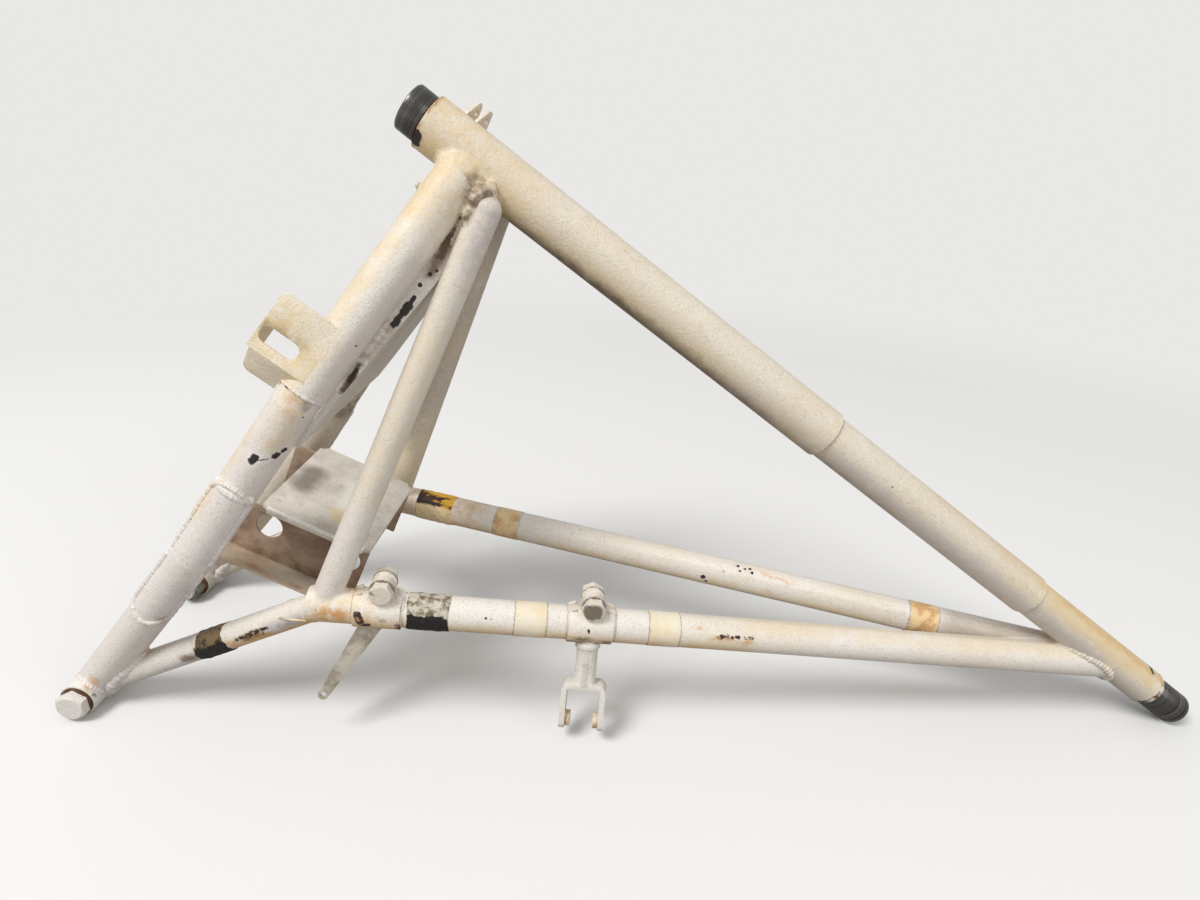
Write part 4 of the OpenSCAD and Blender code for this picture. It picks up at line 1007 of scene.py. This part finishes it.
def layWelds(side, label):
    foot, bend, high, neck = (at(n, side) for n in ("foot", "lowerBend", "upperBend", "neck"))
    knee, postTop, dragEnd = at("knee", side), at("postTop", side), at("dragEnd", side)
    legFinish = "legPaint" if side < 0 else "rearLegPaint"
    weldBead(label, "Neck", neckRing(side), "neckPaint")
    crotch = seamDown(postTop, knee, postR, high, neck, sleeveR, *seamReach["crotch"], side)
    weldBead(label, "Crotch", [crotch], "neckPaint")
    rim = ringOn(high, neck, seamReach["rimAt"], sleeveR - seamReach["rimSunk"] / 1000)
    weldBead(label, "Rim", [rim], "sleevePaint" if side < 0 else "rearLegPaint")
    weldBead(label, "Border", doublerBorder(side), legFinish)
    # painted highlight: the cap bead takes the palest cream, footPaint, so that it looks lit
    weldBead(label, "Cap", [doublerCap(side)], "footPaint")
    # the knee: toe tube, drag tube and post
    kneeRing = openRuns(seamOn(knee, foot, postR, knee, dragEnd, dragR), near(knee, "knee"))
    weldBead(label, "Knee", kneeRing, "frontDragPaint" if side < 0 else "rearDragPaint")
    # the foot: both tubes on the boss and on each other
    bossEnds = (foot + Vector((0, -0.03, 0)), foot + Vector((0, 0.03, 0)))
    onBoss = [openRuns(seamOn(foot, top, radius, *bossEnds, bossR), outside(side, 1))
              for top, radius in ((bend, legR), (knee, postR))]
    weldBead(label, "Foot", onBoss[0] + onBoss[1], "legPaint")
    toeOnLeg = openRuns(seamOn(foot, knee, postR, foot, bend, legR), near(foot, "toe"))
    weldBead(label, "Toe", toeOnLeg, "legPaint")
    # the lower ends of the drag tubes on the pivot tube
    nearEnd, outward = near(dragEnd, "dragEnd"), outside(side, 0.5)
    dragRing = openRuns(seamOn(dragEnd, knee, dragR, *pivot, pivotLowR), lambda p: nearEnd(p) and outward(p))
    weldBead(label, "DragEnd", dragRing, "plainPaint")


for side, label in halves:
    layWelds(side, label)
print("weld beads laid")

# the painted fillets: the tubes of one joint fused and smoothed, which fills the corners between them
fillets = {
    "grain": 0.0008, "turns": 48, "domeRings": 7, "softness": 0.5, "kept": 0.4,
    "neckRounds": 60, "kneeRounds": 34, "footRounds": 30, "dragEndRounds": 24,  # of smoothing
}
barRuns = {  # where each tube's bar starts and ends in a fillet, in millimetres along the tube
    "pivotAtNeck": (24, 110), "sleeve": 45, "postTop": 52, "post": (0, 32), "toeAtKnee": (0, 30),
    "dragAtKnee": (-9, 24), "leg": (0, 70), "toe": (0, 76), "pivotAtDrags": (580, 672), "dragEnd": (0, 95),
    "halfBoss": 17.5,
}


def roundBar(points, faces, start, end, radius, dome=False):
    way, side, other = axesOf(start, end)
    rings = [(start, radius), (end, radius)]
    if dome:
        tilts = [math.pi / 2 * k / fillets["domeRings"] for k in range(1, fillets["domeRings"])]
        rings += [(end + way * radius * math.sin(a), radius * math.cos(a)) for a in tilts]
    base = len(points)
    for centre, size in rings:
        points += circle(centre, side, other, size, fillets["turns"])
    joinRings(faces, base, fillets["turns"], len(rings) - 1)
    capRings(faces, base, fillets["turns"], len(rings) - 1)


def fillet(name, bars, finish, rounds):
    points, faces = [], []
    for each in bars:
        roundBar(points, faces, *each)
    piece = newPiece(name, points, [], faces)
    fused = piece.modifiers.new("fused", "REMESH")
    fused.mode = "VOXEL"
    fused.voxel_size = fillets["grain"]
    fused.use_smooth_shade = True
    soft = piece.modifiers.new("soft", "SMOOTH")
    soft.factor = fillets["softness"]
    soft.iterations = rounds
    fewer = piece.modifiers.new("fewer", "DECIMATE")
    fewer.ratio = fillets["kept"]
    made = plainMesh(piece, name)
    made.data.materials.clear()
    made.data.materials.append(finishes[finish])
    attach(made, "root")
    print(name, len(made.data.polygons), "faces")


def part(start, end, run, radius):  # a stretch of a tube, by its name in barRuns
    low, high = barRuns[run]
    return stepFrom(start, end, low), stepFrom(start, end, high), radius


neckSeam = {
    "radius": 6.0, "waver": 0.5, "pace": 3.1, "every": 3,
    "lumps": ((-118, 18, 369.5), (-124, 22, 367.5), (-129, 26, 361), (-132.6, 29, 353)),
    "lumpRadii": (4.6, 5.2, 4.4),
}

neckBars = [part(*pivot, "pivotAtNeck", pivotR)]
for side in (-1, 1):
    neck, high, postTop, knee = at("neck", side), at("upperBend", side), at("postTop", side), at("knee", side)
    neckBars.append((stepFrom(neck, high, barRuns["sleeve"]), neck, sleeveR, True))
    neckBars.append((stepFrom(postTop, knee, barRuns["postTop"]), postTop, postR, True))
    ring = neckRing(side)[0][::neckSeam["every"]]
    for i, (p, q) in enumerate(zip(ring, ring[1:])):
        thick = neckSeam["radius"] + neckSeam["waver"] * math.sin(neckSeam["pace"] * i)
        neckBars.append((p, q, thick / 1000))
    lumps = [spot(x, y * side, z) for x, y, z in neckSeam["lumps"]]
    for p, q, radius in zip(lumps, lumps[1:], neckSeam["lumpRadii"]):
        neckBars.append((p, q, radius / 1000, True))
fillet("neckFillet", neckBars, "neckPaint", fillets["neckRounds"])
for side, label in halves:
    foot, bend, knee = at("foot", side), at("lowerBend", side), at("knee", side)
    postTop, dragEnd = at("postTop", side), at("dragEnd", side)
    fillet(label + "KneeFillet", [
        part(knee, postTop, "post", postR), part(knee, foot, "toeAtKnee", postR),
        part(knee, dragEnd, "dragAtKnee", dragR),
    ], "kneePaint" if side < 0 else "rearDragPaint", fillets["kneeRounds"])
    halfBoss = spot(0, barRuns["halfBoss"], 0)
    fillet(label + "FootFillet", [
        (foot - halfBoss, foot + halfBoss, bossR),
        part(foot, bend, "leg", legR), part(foot, knee, "toe", postR),
    ], "legPaint", fillets["footRounds"])
endBars = [part(*pivot, "pivotAtDrags", pivotLowR)]
endBars += [part(at("dragEnd", side), at("knee", side), "dragEnd", dragR) for side in (-1, 1)]
fillet("dragEndFillet", endBars, "plainPaint", fillets["dragEndRounds"])
print("fillets made")

# the burnt wraps: ragged ends, ribs and a thicker underside; sizes in millimetres
wraps = {
    "count": 120, "rows": 30, "thick": 0.75, "ragged": 1.6, "rib": 0.16, "sunk": 0.1, "seed": 4,
    "waveCount": 7, "waveSize": (0.2, 1.0), "waves": (2, 3, 5, 7, 11, 17),  # for the torn ends
    "runs": (  # which tube, on which side, and where the wrap starts and ends on it
        ("knee", "dragEnd", -1, 56.5, 84.5, 11.9), ("knee", "dragEnd", 1, 22.0, 54.0, 11.9),
        ("foot", "knee", -1, 100.5, 126.5, 9.525),
    ),
}


def raggedWrap(points, faces, start, end, low, high, radius, seed):
    way = (end - start).normalized()
    across = way.cross(Vector((0, 0, 1))).normalized()
    above = across.cross(way).normalized()
    dice = random.Random(seed)
    waves = []
    for _ in range(wraps["waveCount"]):
        number, phase = dice.choice(wraps["waves"]), dice.uniform(0, math.tau)
        waves.append((number, phase, dice.uniform(*wraps["waveSize"])))
    count, rows = wraps["count"], wraps["rows"]
    base, size = len(points), (rows + 1) * count

    def torn(angle, phase):  # how far an end is torn off here
        wave = sum(w * math.sin(n * angle + q + phase) / n ** 0.6 for n, q, w in waves)
        return wave * wraps["ragged"] * 0.5

    for skin in ("outer", "inner"):
        for j in range(rows + 1):
            share = j / rows
            for angle in turnsOf(count):
                run = (low + torn(angle, 0)) * (1 - share) + (high + torn(angle, 2)) * share
                lift = 0.0
                if skin == "outer":
                    under = max(0.0, -math.sin(angle))
                    rib = wraps["rib"] * math.sin(run * 3.6 + 0.6 * math.sin(angle * 3)) * under
                    lump = 0.12 * math.sin(angle * 9 + run * 0.7) + 0.1 * math.sin(angle * 4 - run * 0.9)
                    lift = wraps["thick"] * (0.7 + 0.6 * under) + rib + lump
                    lift *= min(1.0, 0.55 + 3.2 * min(share, 1 - share))  # thinner towards the ends
                turned = across * math.cos(angle) + above * math.sin(angle)
                points.append(start + way * run / 1000 + turned * (radius + (lift - wraps["sunk"]) / 1000))
        joinRings(faces, base if skin == "outer" else base + size, count, rows, inward=skin == "inner")
    for j in (0, rows):  # the torn ends, from skin to skin
        for i in range(count):
            a, b = base + j * count + i, base + j * count + (i + 1) % count
            faces.append((b, a, a + size, b + size) if j == 0 else (a, b, b + size, a + size))


points, faces = [], []
for fromName, toName, side, low, high, radius in wraps["runs"]:
    seed = wraps["seed"] + len(points)
    raggedWrap(points, faces, at(fromName, side), at(toName, side), low, high, radius / 1000, seed)
wrapPiece = newPiece("burntWraps", points, [], faces)
wrapPiece.data.polygons.foreach_set("use_smooth", [True] * len(faces))
wrapPiece.data.materials.append(finishes["blackWrap"])
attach(wrapPiece, "root")
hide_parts("chafe_bands")

# bolts with chamfered hex heads, in millimetres; the shank goes back from the seat by its tail
footBolt = {"flats": 19.05, "head": 7.0, "shank": 6.35, "tail": 54.6, "seat": 93.8}
clampBolt = {"flats": 14.3, "head": 6.0, "shank": 4.75, "tail": 20.7}
boltForm = {
    "steps": 72, "topShare": 0.93, "slope": 0.55, "relief": 0.25, "shankChamfer": 0.8, "shankIn": 0.4,
    "crispAngle": 24,
}


def hexBolt(points, faces, size, seat, way, corner):
    # a head that stands on the seat along way, with one of its corners towards corner
    corner = corner.normalized()
    other = way.cross(corner).normalized()
    half, count, relief = size["flats"] / 2, boltForm["steps"], boltForm["relief"]
    inner = half * boltForm["topShare"]
    base = len(points)
    for k, share in enumerate((0, 0.5, 1, 1, 1)):  # the flat top, the chamfer's two rings, the sides' two
        for angle in turnsOf(count):
            edge = half / math.cos(angle % (math.pi / 3) - math.pi / 6) if k else inner
            reach = inner + (edge - inner) * share
            height = size["head"] - (reach - inner) * boltForm["slope"] if k < 3 else (relief, 0.0)[k - 3]
            reach = reach - relief if k == 4 else reach
            turned = corner * math.cos(angle + math.pi / 6) + other * math.sin(angle + math.pi / 6)
            points.append(seat + turned * reach / 1000 + way * height / 1000)
    joinRings(faces, base, count, 4, inward=True)
    capRings(faces, base, count, 4, inward=True)
    base = len(points)
    chamfer, shank, tail = boltForm["shankChamfer"], size["shank"], size["tail"]
    for height, reach in ((boltForm["shankIn"], shank), (-tail + chamfer, shank), (-tail, shank - chamfer)):
        points += circle(seat + way * height / 1000, corner, other, reach / 1000, count)
    joinRings(faces, base, count, 2, inward=True)
    capRings(faces, base, count, 2, inward=True)


def boltPiece(name, node, finish, bolts):
    points, faces = [], []
    for each in bolts:
        hexBolt(points, faces, *each)
    made = newPiece(name, points, [], faces)
    made.data.materials.append(finishes[finish])
    made.data.polygons.foreach_set("use_smooth", [len(f) == 4 for f in faces])
    crisp = made.modifiers.new("crisp", "EDGE_SPLIT")
    crisp.split_angle = math.radians(boltForm["crispAngle"])
    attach(made, "root")
    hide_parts(node)


boltPiece("footBoltHeads", "foot_bolts", "footPaint", [
    (footBolt, Vector((footFront.x, side * footBolt["seat"] / 1000, footFront.z)), Vector((0, side, 0)),
     Vector((1, 0, 0))) for side in (-1, 1)])
boltPiece("clampBoltHeads", "clamp_bolts", "boltPaint", [
    (clampBolt, middle + boltOut * clamps["out"] / 1000, boltOut, clampUp) for middle in clampMids])
print("wraps and bolt heads made")


def buildFloor():  # a pale disc that glows like the backdrop far out, so that no horizon shows
    middle = Vector((0, 0, cadBox[0][2]))
    ring = circle(middle, Vector((1, 0, 0)), Vector((0, 1, 0)), light["floorRadius"], light["floorSides"])
    floor = newPiece("floor", ring, [], [list(range(len(ring)))])
    f = Finish("floorPale")
    floorTone = tone(*light["floorTone"])
    direct = f.node("ShaderNodeLightPath", out="Is Camera Ray")
    bounced = f.blend(direct, tone(*light["bounceTone"]), floorTone)  # what the camera doesn't see is darker
    plain = f.node("ShaderNodeBsdfDiffuse", {}, {"Color": bounced})
    far = f.rise(f.vector("LENGTH", f.place, out=1), light["glowFrom"], light["glowTo"])
    glow = f.node("ShaderNodeEmission", {}, {"Color": floorTone, "Strength": 1.0})
    seen = direct.most(f.node("ShaderNodeLightPath", out="Is Glossy Ray"))
    floor.data.materials.append(f.show(f.node("ShaderNodeMixShader", {}, {0: far * seen, 1: plain, 2: glow})))


def buildStudio():
    world = bpy.data.worlds.new("studio")
    world.use_nodes = True
    tree = world.node_tree
    tree.nodes.clear()
    path = addNode(tree, "ShaderNodeLightPath").outputs["Is Camera Ray"]
    sky = addNode(tree, "ShaderNodeBackground", {}, {"Color": (1, 1, 1, 1), "Strength": light["sky"]})
    backdrop = addNode(tree, "ShaderNodeBackground", {}, {"Color": tone(*light["floorTone"])})
    mix = addNode(tree, "ShaderNodeMixShader", {}, {0: path, 1: sky.outputs[0], 2: backdrop.outputs[0]})
    addNode(tree, "ShaderNodeOutputWorld", {}, {"Surface": mix.outputs[0]})
    bpy.context.scene.world = world
    for name in ("key", "fill"):
        lamp = bpy.data.lights.new(name, "AREA")
        lamp.shape = "DISK"
        lamp.size = light[name + "Size"]
        lamp.energy = light[name]
        made = bpy.data.objects.new(name, lamp)
        made.location = light[name + "Place"]
        aim = Vector(light["aim"]) - Vector(light[name + "Place"])
        made.rotation_euler = aim.to_track_quat("-Z", "Y").to_euler()
        bpy.context.scene.collection.objects.link(made)


buildCamera()
buildFloor()
buildStudio()
bpy.context.scene.view_settings.view_transform = "Standard"
print("studio set")
